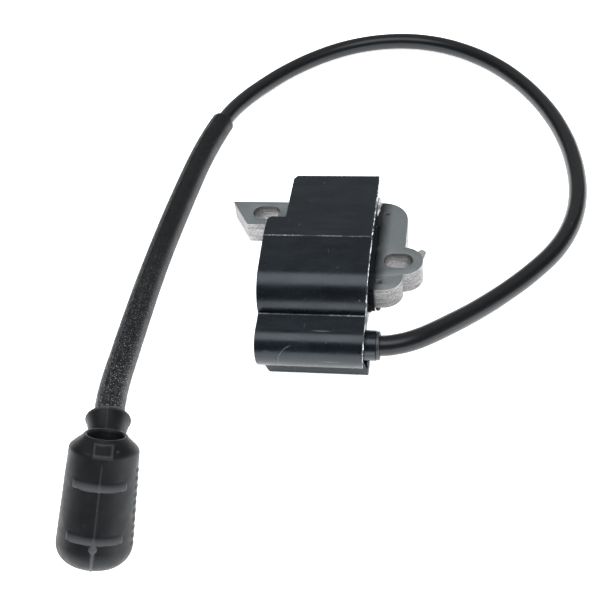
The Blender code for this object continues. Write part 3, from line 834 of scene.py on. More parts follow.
def sweep(name: str, path: np.ndarray, radius: Callable[[np.ndarray, np.ndarray], np.ndarray], sides: int,
          bore: float = 0.0) -> bpy.types.Mesh:
    """A tube along a path, with a UV map in metres: round it, then along it.

    Args:
        name: The mesh's name.
        path: Points of the centre line.
        radius: Gives the radius at (distance along, angle round), both as grids.
        sides: Points round the tube.
        bore: Radius of a bore right through, or 0 for a solid cord with capped ends.

    Returns:
        The tube's mesh.
    """
    tangents = np.gradient(path, axis=0)
    tangents /= np.linalg.norm(tangents, axis=1)[:, None]
    up = np.array([0.0, 0.0, 1.0])
    sideways = np.cross(tangents, up)
    sideways /= np.linalg.norm(sideways, axis=1)[:, None]
    upwards = np.cross(sideways, tangents)
    steps = np.linalg.norm(np.diff(path, axis=0), axis=1)
    distance = np.concatenate([[0.0], np.cumsum(steps)])
    angles = np.linspace(0, math.tau, sides, endpoint=False)
    grid = radius(distance[:, None], angles[None, :])
    ring = np.cos(angles)[None, :, None] * sideways[:, None, :]
    ring = ring + np.sin(angles)[None, :, None] * upwards[:, None, :]
    outer = (path[:, None, :] + ring * grid[:, :, None]).reshape(-1, 3)
    rows = len(path)
    points = list(outer)
    faces, lengths = [], []
    for i in range(rows - 1):
        for j in range(sides):
            k = (j + 1) % sides
            faces.append((i * sides + j, i * sides + k, (i + 1) * sides + k, (i + 1) * sides + j))
            lengths.append(((j, i), (j + 1, i), (j + 1, i + 1), (j, i + 1)))
    if bore > 0:
        base = len(points)
        points += list((path[:, None, :] + ring * bore).reshape(-1, 3))
        for i in range(rows - 1):
            for j in range(sides):
                k = (j + 1) % sides
                faces.append((base + i * sides + j, base + (i + 1) * sides + j,
                              base + (i + 1) * sides + k, base + i * sides + k))
                lengths.append(((j, i), (j, i + 1), (j + 1, i + 1), (j + 1, i)))
        for i in (0, rows - 1):
            for j in range(sides):
                k = (j + 1) % sides
                faces.append((i * sides + j, i * sides + k, base + i * sides + k, base + i * sides + j))
                lengths.append(((j, i), (j + 1, i), (j + 1, i), (j, i)))
    else:
        for i in (0, rows - 1):
            points.append(path[i])
            middle = len(points) - 1
            for j in range(sides):
                faces.append((i * sides + j, i * sides + (j + 1) % sides, middle))
                lengths.append([(0, 0)] * 3)
    mesh = bpy.data.meshes.new(name)
    mesh.from_pydata([tuple(p) for p in points], [], faces)
    layer = mesh.uv_layers.new(name="surface")
    girth = math.tau * float(grid.mean()) / sides
    corners = [(c * girth, float(distance[r])) for face in lengths for c, r in face]
    layer.data.foreach_set("uv", np.array(corners, dtype=np.float32).ravel())
    shape = bmesh.new()
    shape.from_mesh(mesh)
    bmesh.ops.recalc_face_normals(shape, faces=shape.faces)
    shape.to_mesh(mesh)
    shape.free()
    return mesh


class GeometryTree:
    """A Geometry Nodes tree with named inputs, which ends in Realize Instances and Set Material."""

    def __init__(self, name: str, inputs: dict[str, str]) -> None:
        """Start a tree.

        Args:
            name: The tree's name.
            inputs: Each input's name and socket type.
        """
        self.tree = bpy.data.node_groups.new(name, "GeometryNodeTree")
        interface = self.tree.interface
        interface.new_socket("Geometry", in_out="INPUT", socket_type="NodeSocketGeometry")
        self.identifiers = {
            label: interface.new_socket(label, in_out="INPUT", socket_type=kind).identifier
            for label, kind in inputs.items()
        }
        interface.new_socket("Geometry", in_out="OUTPUT", socket_type="NodeSocketGeometry")
        self.start = self.tree.nodes.new("NodeGroupInput")
        self.end = self.tree.nodes.new("NodeGroupOutput")

    def node(self, kind: str, **settings: object) -> bpy.types.Node:
        """Add a node and set its properties.

        Args:
            kind: The node's type.
            settings: Its properties by name.

        Returns:
            The node.
        """
        made = self.tree.nodes.new(kind)
        for name, value in settings.items():
            setattr(made, name, value)
        return made

    def join(self, source: Socket, target: Socket) -> None:
        """Link an output to an input."""
        self.tree.links.new(source, target)

    def given(self, name: str) -> Socket:
        """The socket of one of the tree's named inputs."""
        return self.start.outputs[name]

    def finish(self, geometry: Socket, material: str, edge: str = "") -> None:
        """Realize the geometry and give it its material, and its steep faces another.

        Args:
            geometry: What the tree has made.
            material: Name of the input with the material.
            edge: Name of the input with the material of faces that stand upright, if any.
        """
        realize = self.node("GeometryNodeRealizeInstances")
        self.join(geometry, realize.inputs[0])
        dress = self.node("GeometryNodeSetMaterial")
        self.join(realize.outputs[0], dress.inputs["Geometry"])
        self.join(self.given(material), dress.inputs["Material"])
        last = dress
        if edge:
            normal = self.node("GeometryNodeInputNormal")
            split = self.node("ShaderNodeSeparateXYZ")
            self.join(normal.outputs[0], split.inputs[0])
            level = self.node("ShaderNodeMath", operation="ABSOLUTE")
            self.join(split.outputs["Z"], level.inputs[0])
            steep = self.node("ShaderNodeMath", operation="LESS_THAN")
            steep.inputs[1].default_value = 0.9
            self.join(level.outputs[0], steep.inputs[0])
            last = self.node("GeometryNodeSetMaterial")
            self.join(dress.outputs[0], last.inputs["Geometry"])
            self.join(steep.outputs[0], last.inputs["Selection"])
            self.join(self.given(edge), last.inputs["Material"])
        self.join(last.outputs[0], self.end.inputs[0])

    def grow(self, name: str, seed: bpy.types.Mesh, values: dict[str, object]) -> bpy.types.Object:
        """Run the tree once and keep the result as a plain mesh.

        Args:
            name: The new piece's name.
            seed: The geometry that goes in.
            values: A value for each named input.

        Returns:
            The new piece.
        """
        stand_in = bpy.data.objects.new(f"{name}_seed", seed)
        bpy.context.scene.collection.objects.link(stand_in)
        modifier = stand_in.modifiers.new("grow", "NODES")
        modifier.node_group = self.tree
        for label, value in values.items():
            modifier[self.identifiers[label]] = value
        mesh = evaluated(stand_in)
        bpy.data.objects.remove(stand_in)
        return put(name, mesh)


# ---------------------------------------------------------------------- parts


@dataclass
class Studio:
    """Floor, lights and camera."""

    place: Vector = field(default_factory=lambda: Vector((54.30, -259.64, 272.51)) * MM)
    right: Vector = field(default_factory=lambda: Vector((0.98561, 0.13505, -0.10165)))
    ahead: Vector = field(default_factory=lambda: Vector((-0.16708, 0.68714, -0.70706)))
    lens: float = 61.8
    floor_half: float = 6.0

    def camera(self) -> None:
        """Set the camera above the near side of the coil."""
        data = bpy.data.cameras.new("camera")
        data.lens = self.lens
        data.sensor_width = 36.0
        data.clip_start = 0.01
        back = -self.ahead.normalized()
        up = back.cross(self.right).normalized()
        right = up.cross(back)
        made = bpy.data.objects.new("camera", data)
        turn = Matrix((right, up, back)).transposed().to_4x4()
        made.matrix_world = Matrix.Translation(self.place) @ turn
        bpy.context.scene.collection.objects.link(made)
        bpy.context.scene.camera = made

    def floor(self) -> None:
        """Lay the pale floor just under the piece."""
        half = self.floor_half
        mesh = mesh_of("floor", [(-half, -half, -0.0002), (half, -half, -0.0002), (half, half, -0.0002),
                                 (-half, half, -0.0002)], [(0, 1, 2, 3)])
        put("floor", mesh, FloorPaper().make())

    def softbox(
        self, name: str, place: Sequence[float], size: Point2, power: float, seen: bool = True,
    ) -> None:
        """Hang an area light that points at the middle of the scene.

        Args:
            name: The light's name.
            place: Where it hangs, in metres.
            size: Its width and height, in metres.
            power: Its power in watts.
            seen: Whether glossy surfaces mirror it.
        """
        data = bpy.data.lights.new(name, "AREA")
        data.shape = "RECTANGLE"
        data.size, data.size_y = size
        data.energy = power
        data.color = (1.0, 0.995, 0.985)
        lamp = bpy.data.objects.new(name, data)
        lamp.location = place
        aim = Vector((0.0, 0.03, 0.0)) - Vector(place)
        lamp.rotation_euler = aim.to_track_quat("-Z", "Y").to_euler()
        lamp.visible_glossy = seen
        bpy.context.scene.collection.objects.link(lamp)

    def light(self) -> None:
        """A large box overhead, wide fill that no gloss mirrors, and a dim room."""
        world = bpy.data.worlds.new("studio")
        world.use_nodes = True
        room = world.node_tree.nodes["Background"]
        room.inputs["Color"].default_value = (0.84, 0.92, 1.0, 1.0)
        room.inputs["Strength"].default_value = 0.10
        bpy.context.scene.world = world
        self.softbox("overhead", (0.0, -0.24, 1.0), (1.1, 0.68), 7.6)
        self.softbox("backdrop", (0.0, 1.7, 1.5), (3.4, 2.4), 11.0)
        self.softbox("fill_left", (-1.1, 0.2, 1.2), (1.6, 1.6), 34.0, seen=False)
        self.softbox("fill_right", (1.1, 0.0, 1.2), (1.6, 1.6), 34.0, seen=False)
        self.softbox("fill_front", (0.0, -1.2, 1.1), (1.6, 1.2), 20.0, seen=False)
        bpy.context.scene.view_settings.view_transform = "Standard"

    def build(self) -> None:
        """Set up the whole studio."""
        self.camera()
        self.floor()
        self.light()


@dataclass
class Lead:
    """The high-tension lead, its rubber sleeve and the bush that it leaves the housing by."""

    origin: Vector
    radius: float = 3.55
    sleeve_radius: float = 5.05
    sleeve_bore: float = 3.95
    sleeve_first: float = 110.4
    sleeve_last: float = -63.6
    axis: Point2 = (-17.3, -13.6)
    bush: Point2 = (14.4, 23.2)
    mouth: float = 18.4
    route: tuple[tuple[float, float, float], ...] = (
        (-3.1, -26.8, 11.6), (21.1, -26.8, 11.6), (28.6, -25.7, 11.5), (34.8, -22.8, 11),
        (40.4, -18.3, 9.9), (46.8, -12, 8.2), (54.6, -3.7, 6), (63.6, 6.2, 4.3),
        (73.8, 17.8, 3.6), (83.4, 30.8, 3.55), (89.8, 45, 3.55), (93.1, 61.1, 3.55),
        (93.2, 79.6, 3.55), (90.1, 99.6, 3.55), (83.6, 120, 3.55), (73.2, 140, 3.55),
        (60, 156.8, 3.55), (45, 168.8, 3.55), (30.1, 175.5, 3.55), (15.6, 177.7, 3.55),
        (1.2, 176.1, 3.55), (-12.8, 170.8, 3.55), (-25.8, 162, 3.6), (-36.8, 151.2, 3.8),
        (-45.4, 139.6, 4.2), (-51.8, 128.6, 4.8), (-57, 116.6, 5.2), (-60.8, 101.6, 5.3),
        (-63.8, 82.1, 5.3), (-66, 55.6, 5.3), (-67.5, 30.9, 5.3), (-68.3, 8.2, 5.3),
        (-68.5, -12.8, 5.3), (-68.4, -30.4, 5.4), (-68, -42.4, 6), (-66.8, -52.9, 6.9),
        (-64.8, -63.4, 7.4), (-62.3, -76.4, 7.15), (-59.8, -89.4, 6.9), (-57.3, -102.4, 6.65),
    )

    def path(self, step: float) -> np.ndarray:
        """The lead's centre line in metres, with points a step apart in millimetres."""
        return smooth_route(self.route, step) * MM

    def cord(self) -> bpy.types.Object:
        """The lead itself, with the slight waviness of an extruded jacket.

        Returns:
            The lead's piece.
        """
        centre = self.path(1.6)

        def radius(along: np.ndarray, angle: np.ndarray) -> np.ndarray:
            """Radius in metres at each distance along and angle round."""
            swell = 0.012 * np.sin(along / MM / 7.3) + 0.010 * np.sin(along / MM / 2.9 + 1.0)
            return (self.radius + swell + 0.008 * np.cos(2 * angle + along / MM / 31)) * MM

        mesh = sweep("high_tension_lead", centre, radius, 48)
        piece = put("high_tension_lead", mesh, LeadJacket().make())
        smooth(piece, 50)
        return piece

    def sleeve_path(self) -> np.ndarray:
        """The centre line of the sleeve's stretch.

        Returns:
            Its points, in metres.
        """
        centre = self.path(0.55)
        left = centre[centre[:, 0] < -0.05]
        return left[(left[:, 1] < self.sleeve_first * MM) & (left[:, 1] > self.sleeve_last * MM)]

    def sleeve(self) -> bpy.types.Object:
        """The granular sleeve with its mould line and its rounded cut ends.

        Returns:
            The sleeve's piece.
        """
        centre = self.sleeve_path()
        rng = np.random.default_rng(7)
        sides = 112
        bumps = rng.normal(0.0, 1.0, (len(centre), sides))
        bumps = (bumps + np.roll(bumps, 1, 0) + np.roll(bumps, 1, 1)) / 3

        def radius(along: np.ndarray, angle: np.ndarray) -> np.ndarray:
            """The sleeve's outer radius.

            Args:
                along: Distance along the sleeve, in metres.
                angle: Angle round it.

            Returns:
                The radius in metres.
            """
            total = float(along.max())
            place = along / MM
            rough = 0.02 + 0.035 * np.clip((along / total - 0.45) / 0.4, 0, 1)
            line = 0.16 * np.exp(-((angle - 1.30) / 0.045) ** 2) + 0.05 * np.cos(7 * angle + 0.4)
            slack = 0.05 * np.sin(place / 21.0) + 0.03 * np.sin(place / 8.7 + 0.6)
            from_end = total / MM - place
            lip = 0.2 * np.clip(1 - place / 0.6, 0, 1) ** 2 + 0.2 * np.clip(1 - from_end / 0.6, 0, 1) ** 2
            base = self.sleeve_radius - 0.02 + slack + line - lip + rough * bumps
            return np.minimum(base, self.sleeve_radius + 0.22) * MM

        mesh = sweep("sleeve", centre, radius, sides, bore=self.sleeve_bore * MM)
        piece = put("sleeve", mesh, SleeveRubber().make())
        smooth(piece, 60)
        return piece

    def bush_piece(self, material: bpy.types.Material) -> bpy.types.Object:
        """The bush: a root in the bore, two rims and a waist between them.

        Args:
            material: The rubber.

        Returns:
            The bush's piece.
        """
        low, high = self.bush
        rim, waist, bore = 4.95, 4.55, 3.85
        profile = [(low, bore), (low, rim - 0.2), (low + 0.2, rim)]
        for start, end in ((low + 0.2, self.mouth + 0.9), (high - 0.95, high)):
            profile += [(start, rim)] if start > low + 0.2 else []
            profile += [(end - 0.22, rim), (end - 0.06, rim - 0.08), (end, rim - 0.24)]
            if end < high:
                profile += [(end + 0.12, waist + 0.04), (end + 0.35, waist), (high - 1.35, waist),
                            (high - 1.1, waist + 0.06), (high - 1.02, rim - 0.2)]
        profile += [(high, bore + 0.55), (high - 0.25, bore + 0.12), (high - 0.6, bore)]
        place = along_x(self.origin, *self.axis)
        piece = put("lead_bush_fine", turned("lead_bush_fine", profile, place), material)
        smooth(piece, 45)
        return piece

    def build(self, materials: dict[str, bpy.types.Material]) -> list[bpy.types.Object]:
        """Build the lead's pieces and say which nodes they stand for.

        Args:
            materials: The small finishes by name.

        Returns:
            The lead and the sleeve.
        """
        lead, sleeve = self.cord(), self.sleeve()
        bush = self.bush_piece(materials["bush_rubber"])
        for piece, node, slot in ((lead, "ht_lead", "lead_jacket"), (sleeve, "lead_sleeve", "sleeve_rubber"),
                                  (bush, "lead_bush", "sleeve_rubber")):
            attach(piece, BODY)
            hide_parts(node)
            LOG.info("%s stands for %s", piece.name, node)
        return [lead, sleeve]


@dataclass
class Housing:
    """The potted plastic housing, with its torn end rim, sealing resin and pot filling."""

    origin: Vector
    axis_z: float = -4.2
    lobe: float = 12.0
    top: float = 10.5
    crease: float = 11.2
    far: float = 44.2
    base: float = -10.0
    step: float = 21.2
    left: float = -19.0
    block_left: float = -12.4
    right: float = 19.3
    draft: float = 0.057
    lead_axis: Point2 = (-17.3, -13.6)
    lead_lobe: float = 8.0
    foot: float = -25.2
    toe: tuple[float, float, float, float] = (-17.4, 19.0, -20.9, -11.9)
    toe_slant: float = 1.3
    pot: tuple[float, float, float, float] = (-15.5, 15.5, -12.4, 28.5)
    wall: float = 1.5
    edge: float = 0.28
    beads: int = 15
    bead_size: float = 0.12
    pits: int = 14
    flash_thickness: float = 0.17
    raggedness: float = 0.55
    flange: tuple[Corner, Corner] = ((17.6, 4.9, -9.4), (19.85, 27.9, -0.2))
    leg_lips: tuple[tuple[Corner, Corner], ...] = (
        ((17.6, -5.3, -9.4), (20.7, -4.6, 0.5)), ((17.6, -5.3, 0.08), (20.5, 2.4, 0.5)),
    )

    def at(self, x: float, y: float, z: float) -> Vector:
        """A place in the core's frame as a place in the model's."""
        return self.origin + Vector((x, y, z)) * MM

    def outline(self) -> list[Point2]:
        """The Y-Z section, round from the far top edge over both lobes to the underside.

        Returns:
            Its points in millimetres, in the core's frame.
        """
        centre = (0.0, self.axis_z)
        rise = Vector((self.crease, self.top - self.axis_z))
        bearing = math.degrees(math.atan2(rise.y, rise.x))
        touch = bearing + math.degrees(math.acos(self.lobe / rise.length))
        points = [(self.far, self.top), (self.crease, self.top)]
        points += arc(centre, self.lobe, touch, 183.0, 64)
        points += arc(self.lead_axis, self.lead_lobe, 90, 290, 84)
        points.append((self.toe[3] - 0.6, -15.0))
        points += arc(centre, self.lobe, 225, 270, 16)
        points += [(self.step, self.axis_z - self.lobe), (self.step, self.base), (self.far, self.base)]
        return points

    def right_end(self, z: float) -> float:
        """Where the right end face is at a height, because it leans in towards its foot."""
        return self.right - (self.top - z) * self.draft

    def body(self) -> bpy.types.Mesh:
        """The outer body: the section drawn along X between the two ends.

        Returns:
            The closed mesh.
        """
        outline = self.outline()
        count = len(outline)
        points = [self.at(self.left, y, z) for y, z in outline]
        points += [self.at(self.right_end(z), y, z) for y, z in outline]
        faces = [[i, (i + 1) % count, (i + 1) % count + count, i + count] for i in range(count)]
        return mesh_of("housing", points, faces + [list(range(count)), list(range(count, 2 * count))])

    def corner_cutter(self) -> bpy.types.Mesh:
        """What is missing beside the block: a corner with a rounded step and a chamfered back.

        Returns:
            The cutter.
        """
        out, deep = self.left - 6.0, self.far + 3.0
        low = self.left
        outline = [(out, self.step - 2.6), (low - 1.0, self.step - 2.6)]
        outline += [(low + 2.2 - 2.2 * math.cos(a), self.step - 2.2 + 2.2 * math.sin(a))
                    for a in (math.pi / 2 * i / 10 for i in range(11))]
        outline += [(self.block_left, self.step), (self.block_left, self.far - 1.8),
                    (self.block_left + 1.2, self.far), (self.block_left + 1.2, deep), (out, deep)]
        return slab("corner", outline, self.at, -20.0, 20.0)

    def toe_mesh(self) -> bpy.types.Mesh:
        """The foot under the lead's lobe, slanted at its left end.

        Returns:
            The closed mesh.
        """
        left, right, front, back = self.toe
        knee = self.lead_axis[1] - 3.0
        side = [(left, knee), (right, knee), (right, self.foot), (left + self.toe_slant, self.foot),
                (left, self.lead_axis[1] - self.lead_lobe)]
        return slab("toe", side, lambda x, z, y: self.at(x, y, z), front, back)

    def shell(self) -> bpy.types.Object:
        """The whole housing, edges rounded, then hollowed as the solid one is.

        Returns:
            The housing's piece.
        """
        piece = put("housing", self.body(), HousingPlastic().make(), ScuffedEdge().make())
        carve(piece, self.corner_cutter())
        carve(piece, self.toe_mesh(), "UNION")
        x0, x1, y0, y1 = self.pot
        carve(piece, block("pot", (x0, y0, self.foot), (x1, y1, self.base + 0.6), self.origin), "UNION")
        shape = bmesh.new()
        shape.from_mesh(piece.data)
        bmesh.ops.remove_doubles(shape, verts=shape.verts, dist=0.01 * MM)
        bmesh.ops.dissolve_limit(shape, angle_limit=math.radians(0.6), verts=shape.verts, edges=shape.edges)
        shape.to_mesh(piece.data)
        shape.free()
        for polygon in piece.data.polygons:
            polygon.material_index = 0
        bevel = piece.modifiers.new("edge", "BEVEL")
        bevel.width = self.edge * MM
        bevel.segments = 3
        bevel.limit_method = "ANGLE"
        bevel.angle_limit = math.radians(11)
        bevel.use_clamp_overlap = False
        bevel.material = 1
        bevel.miter_outer = "MITER_ARC"
        bake_modifiers(piece)
        self.hollow(piece)
        smooth(piece, 32)
        weigh = piece.modifiers.new("weigh", "WEIGHTED_NORMAL")
        weigh.keep_sharp = True
        bake_modifiers(piece)
        return piece

    def hollow(self, piece: bpy.types.Object) -> None:
        """Cut the bores, the windows for the core's legs and the pot.

        Args:
            piece: The housing's piece.
        """
        axis = along_x(self.origin, 0.0, self.axis_z)
        lead = along_x(self.origin, *self.lead_axis)
        x0, x1, y0, y1 = self.pot
        wall = self.wall
        stepped = [(-16.6, 0), (-16.6, 4.0), (14.1, 4.0), (14.1, 5.2), (22.0, 5.2), (22.0, 0)]
        cavity = put("cavity", turned("bore", [(-17.4, 0), (-17.4, 10.6), (16.4, 10.6), (16.4, 0)], axis, 64))
        boxes = {
            "board room": ((-10.8, 7.5, 1.7), (17.2, 42.6, 8.9)),
            "trigger room": ((-10.8, 6.0, -14.4), (16.2, 26.6, 2.5)),
            "pot": ((x0 + wall, y0 + wall, self.foot - 2.0), (x1 - wall, y1 - wall, -13.0)),
            "near leg": ((-22.0, -4.7, -8.65), (22.0, 4.7, 0.3)),
            "far leg": ((-22.0, 28.1, -8.65), (22.0, 41.6, 0.3)),
            "lead's way in": ((-13.6, self.lead_axis[0], -15.4), (-10.6, -8.0, -12.4)),
        }
        for low, high in boxes.values():
            carve(cavity, block("window", low, high, self.origin), "UNION")
        carve(cavity, turned("lead_bore", stepped, lead, 62), "UNION")
        carve(piece, cavity.data)
        bpy.data.objects.remove(cavity)

    def rim_flash(self, material: bpy.types.Material) -> bpy.types.Object:
        """A ragged bead of torn flash along the right end's upper rim, grown on its outline.

        Args:
            material: The torn flash.

        Returns:
            The bead's piece.
        """
        rim = self.outline()[:-8]
        stop = next(i for i, (y, z) in enumerate(rim) if z < self.lead_axis[1] - 4.0)
        points = [self.at(self.right_end(z) + 0.02, y, z) for y, z in rim[:stop]]
        seed = bpy.data.meshes.new("rim_line")
        seed.from_pydata([tuple(p) for p in points], [(i, i + 1) for i in range(len(points) - 1)], [])
        tree = GeometryTree("torn_rim", {
            "Thickness": "NodeSocketFloat", "Raggedness": "NodeSocketFloat", "Material": "NodeSocketMaterial",
        })
        curve = tree.node("GeometryNodeMeshToCurve")
        tree.join(tree.start.outputs[0], curve.inputs[0])
        even = tree.node("GeometryNodeResampleCurve")
        even.inputs["Count"].default_value = 520
        tree.join(curve.outputs[0], even.inputs[0])
        wobble = tree.node("ShaderNodeTexNoise", noise_dimensions="3D")
        wobble.inputs["Scale"].default_value = 900.0
        wobble.inputs["Detail"].default_value = 3.0
        shift = tree.node("ShaderNodeVectorMath", operation="SUBTRACT")
        shift.inputs[1].default_value = (0.5, 0.5, 0.5)
        tree.join(wobble.outputs["Color"], shift.inputs[0])
        grown = tree.node("ShaderNodeVectorMath", operation="SCALE")
        tree.join(shift.outputs[0], grown.inputs[0])
        tree.join(tree.given("Raggedness"), grown.inputs["Scale"])
        moved = tree.node("GeometryNodeSetPosition")
        tree.join(even.outputs[0], moved.inputs[0])
        tree.join(grown.outputs[0], moved.inputs["Offset"])
        swell = tree.node("ShaderNodeTexNoise", noise_dimensions="3D")
        swell.inputs["Scale"].default_value = 420.0
        fit = tree.node("ShaderNodeMapRange")
        fit.inputs["From Min"].default_value = 0.38
        fit.inputs["From Max"].default_value = 0.68
        fit.inputs["To Min"].default_value = 0.25
        tree.join(swell.outputs[0], fit.inputs["Value"])
        thick = tree.node("ShaderNodeMath", operation="MULTIPLY")
        tree.join(fit.outputs[0], thick.inputs[0])
        tree.join(tree.given("Thickness"), thick.inputs[1])
        section = tree.node("GeometryNodeCurvePrimitiveCircle")
        section.inputs["Resolution"].default_value = 7
        section.inputs["Radius"].default_value = 1.0
        tube = tree.node("GeometryNodeCurveToMesh")
        tree.join(moved.outputs[0], tube.inputs["Curve"])
        tree.join(section.outputs[0], tube.inputs["Profile Curve"])
        tree.join(thick.outputs[0], tube.inputs["Scale"])
        tube.inputs["Fill Caps"].default_value = True
        tree.finish(tube.outputs[0], "Material")
        piece = tree.grow("rim_flash", seed, {
            "Thickness": self.flash_thickness * MM, "Raggedness": self.raggedness * MM, "Material": material,
        })
        smooth(piece, 50)
        return piece

    def sealing_beads(self, material: bpy.types.Material) -> bpy.types.Object:
        """Beads of pale resin squeezed out between the right end and the core's back.

        Args:
            material: The pale resin.

        Returns:
            The beads' piece.
        """
        rng = np.random.default_rng(23)
        shape = bmesh.new()
        for index in range(self.beads):
            y = 41.9 - 0.62 * index
            z = 1.0 + 1.3 * math.exp(-((y - 39.0) / 2.2) ** 2) + float(rng.uniform(-0.2, 0.2))
            size = 0.95 * math.exp(-((y - 38.6) / 3.0) ** 2) + 0.3
            middle = self.at(self.right_end(z) + 0.3 * size, y, z)
            turn = Matrix.Translation(middle) @ Matrix.Diagonal((0.7, 1.2, 1.1, 1.0))
            made = bmesh.ops.create_icosphere(shape, subdivisions=3, radius=size * MM, matrix=turn)
            for vertex in made["verts"]:
                away = vertex.co - middle
                lump = noise.noise(vertex.co * 700) + 0.4 * noise.noise(vertex.co * 1900)
                vertex.co += away.normalized() * lump * 0.3 * size * MM
        mesh = bpy.data.meshes.new("sealing_beads")
        shape.to_mesh(mesh)
        shape.free()
        piece = put("sealing_beads", mesh, material)
        melt = piece.modifiers.new("melt", "REMESH")
        melt.mode = "VOXEL"
        melt.voxel_size = self.bead_size * MM
        bake_modifiers(piece)
        piece.data.materials.clear()
        piece.data.materials.append(material)
        smooth(piece, 180)
        return piece

    def former_flange(self, material: bpy.types.Material) -> bpy.types.Object:
        """The coil former's end flange between the housing and the core, with its lips on the near leg.

        Args:
            material: The plastic.

        Returns:
            The flange's piece.
        """
        piece = put("former_flange", block("former_flange", *self.flange, self.origin), material)
        shape = bmesh.new()
        shape.from_mesh(piece.data)
        for lip in self.leg_lips:
            shape.from_mesh(block("former_lip", *lip, self.origin))
        bmesh.ops.bevel(shape, geom=list(shape.edges), offset=0.15 * MM, segments=3, affect="EDGES")
        bmesh.ops.subdivide_edges(shape, edges=[e for e in shape.edges if e.calc_length() > 5 * MM], cuts=24,
                                  use_grid_fill=True)
        for vertex in shape.verts:
            vertex.co.x += 0.06 * MM * noise.noise(vertex.co * 260)
        shape.to_mesh(piece.data)
        shape.free()
        smooth(piece, 40)
        return piece

    def pot_filling(self, material: bpy.types.Material) -> bpy.types.Object:
        """The potting resin at the pot's mouth, drawn up at its walls and pitted by bubbles.

        Args:
            material: The potting resin.

        Returns:
            The filling's piece.
        """
        x0, x1, y0, y1 = (v + s * (self.wall + 0.3) for v, s in zip(self.pot, (1, -1, 1, -1)))
        low, high = self.foot + 0.8, self.foot + 4.0
        columns, rows = 60, 80
        rng = np.random.default_rng(5)
        pits = [
            (rng.uniform(x0 + 2, x1 - 2), rng.uniform(y0 + 2, y1 - 2), rng.uniform(0.3, 0.8))
            for _ in range(self.pits)
        ]
        points, faces = [], []
        for j in range(rows + 1):
            for i in range(columns + 1):
                x = x0 + (x1 - x0) * i / columns
                y = y0 + (y1 - y0) * j / rows
                rim = min(x - x0, x1 - x, y - y0, y1 - y)
                z = low + 0.75 * (1 - math.exp(-rim / 1.1)) + 0.06 * math.sin(x * 0.7) * math.cos(y * 0.45)
                for px, py, size in pits:
                    near = math.hypot(x - px, y - py) / size
                    z += 0.3 * size * max(0.0, 1 - near * near)
                points.append(self.at(x, y, z))
        across = columns + 1
        for j in range(rows):
            for i in range(columns):
                a = j * across + i
                faces.append((a, a + 1, a + across + 1, a + across))
        ring = list(range(columns)) + [j * across + columns for j in range(rows)]
        ring += [rows * across + i for i in range(columns, 0, -1)] + [j * across for j in range(rows, 0, -1)]
        first = len(points)
        for index in ring:
            x, y, _ = (points[index] - self.origin) / MM
            points.append(self.at(x, y, high))
        count = len(ring)
        for k in range(count):
            m = (k + 1) % count
            faces.append((ring[k], ring[m], first + m, first + k))
        faces.append(tuple(range(first, first + count)))
        piece = put("pot_filling", mesh_of("pot_filling", points, faces), material)
        smooth(piece, 60)
        return piece

    def build(self, materials: dict[str, bpy.types.Material]) -> None:
        """Build the housing's pieces.

        Args:
            materials: The small finishes by name.
        """
        flash = FlashRim().make()
        shell = self.shell()
        filling = self.pot_filling(materials["potting_resin"])
        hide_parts("case_shell")
        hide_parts("resin_fill")
        flange = self.former_flange(shell.data.materials[0])
        rim, beads = self.rim_flash(flash), self.sealing_beads(materials["sealing_resin"])
        for piece, slot in ((shell, "case_plastic"), (filling, "potting_resin"), (flange, "case_plastic"),
                            (rim, "case_plastic"), (beads, "potting_resin")):
            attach(piece, BODY)
            LOG.info("%s has %d faces", piece.name, len(piece.data.polygons))


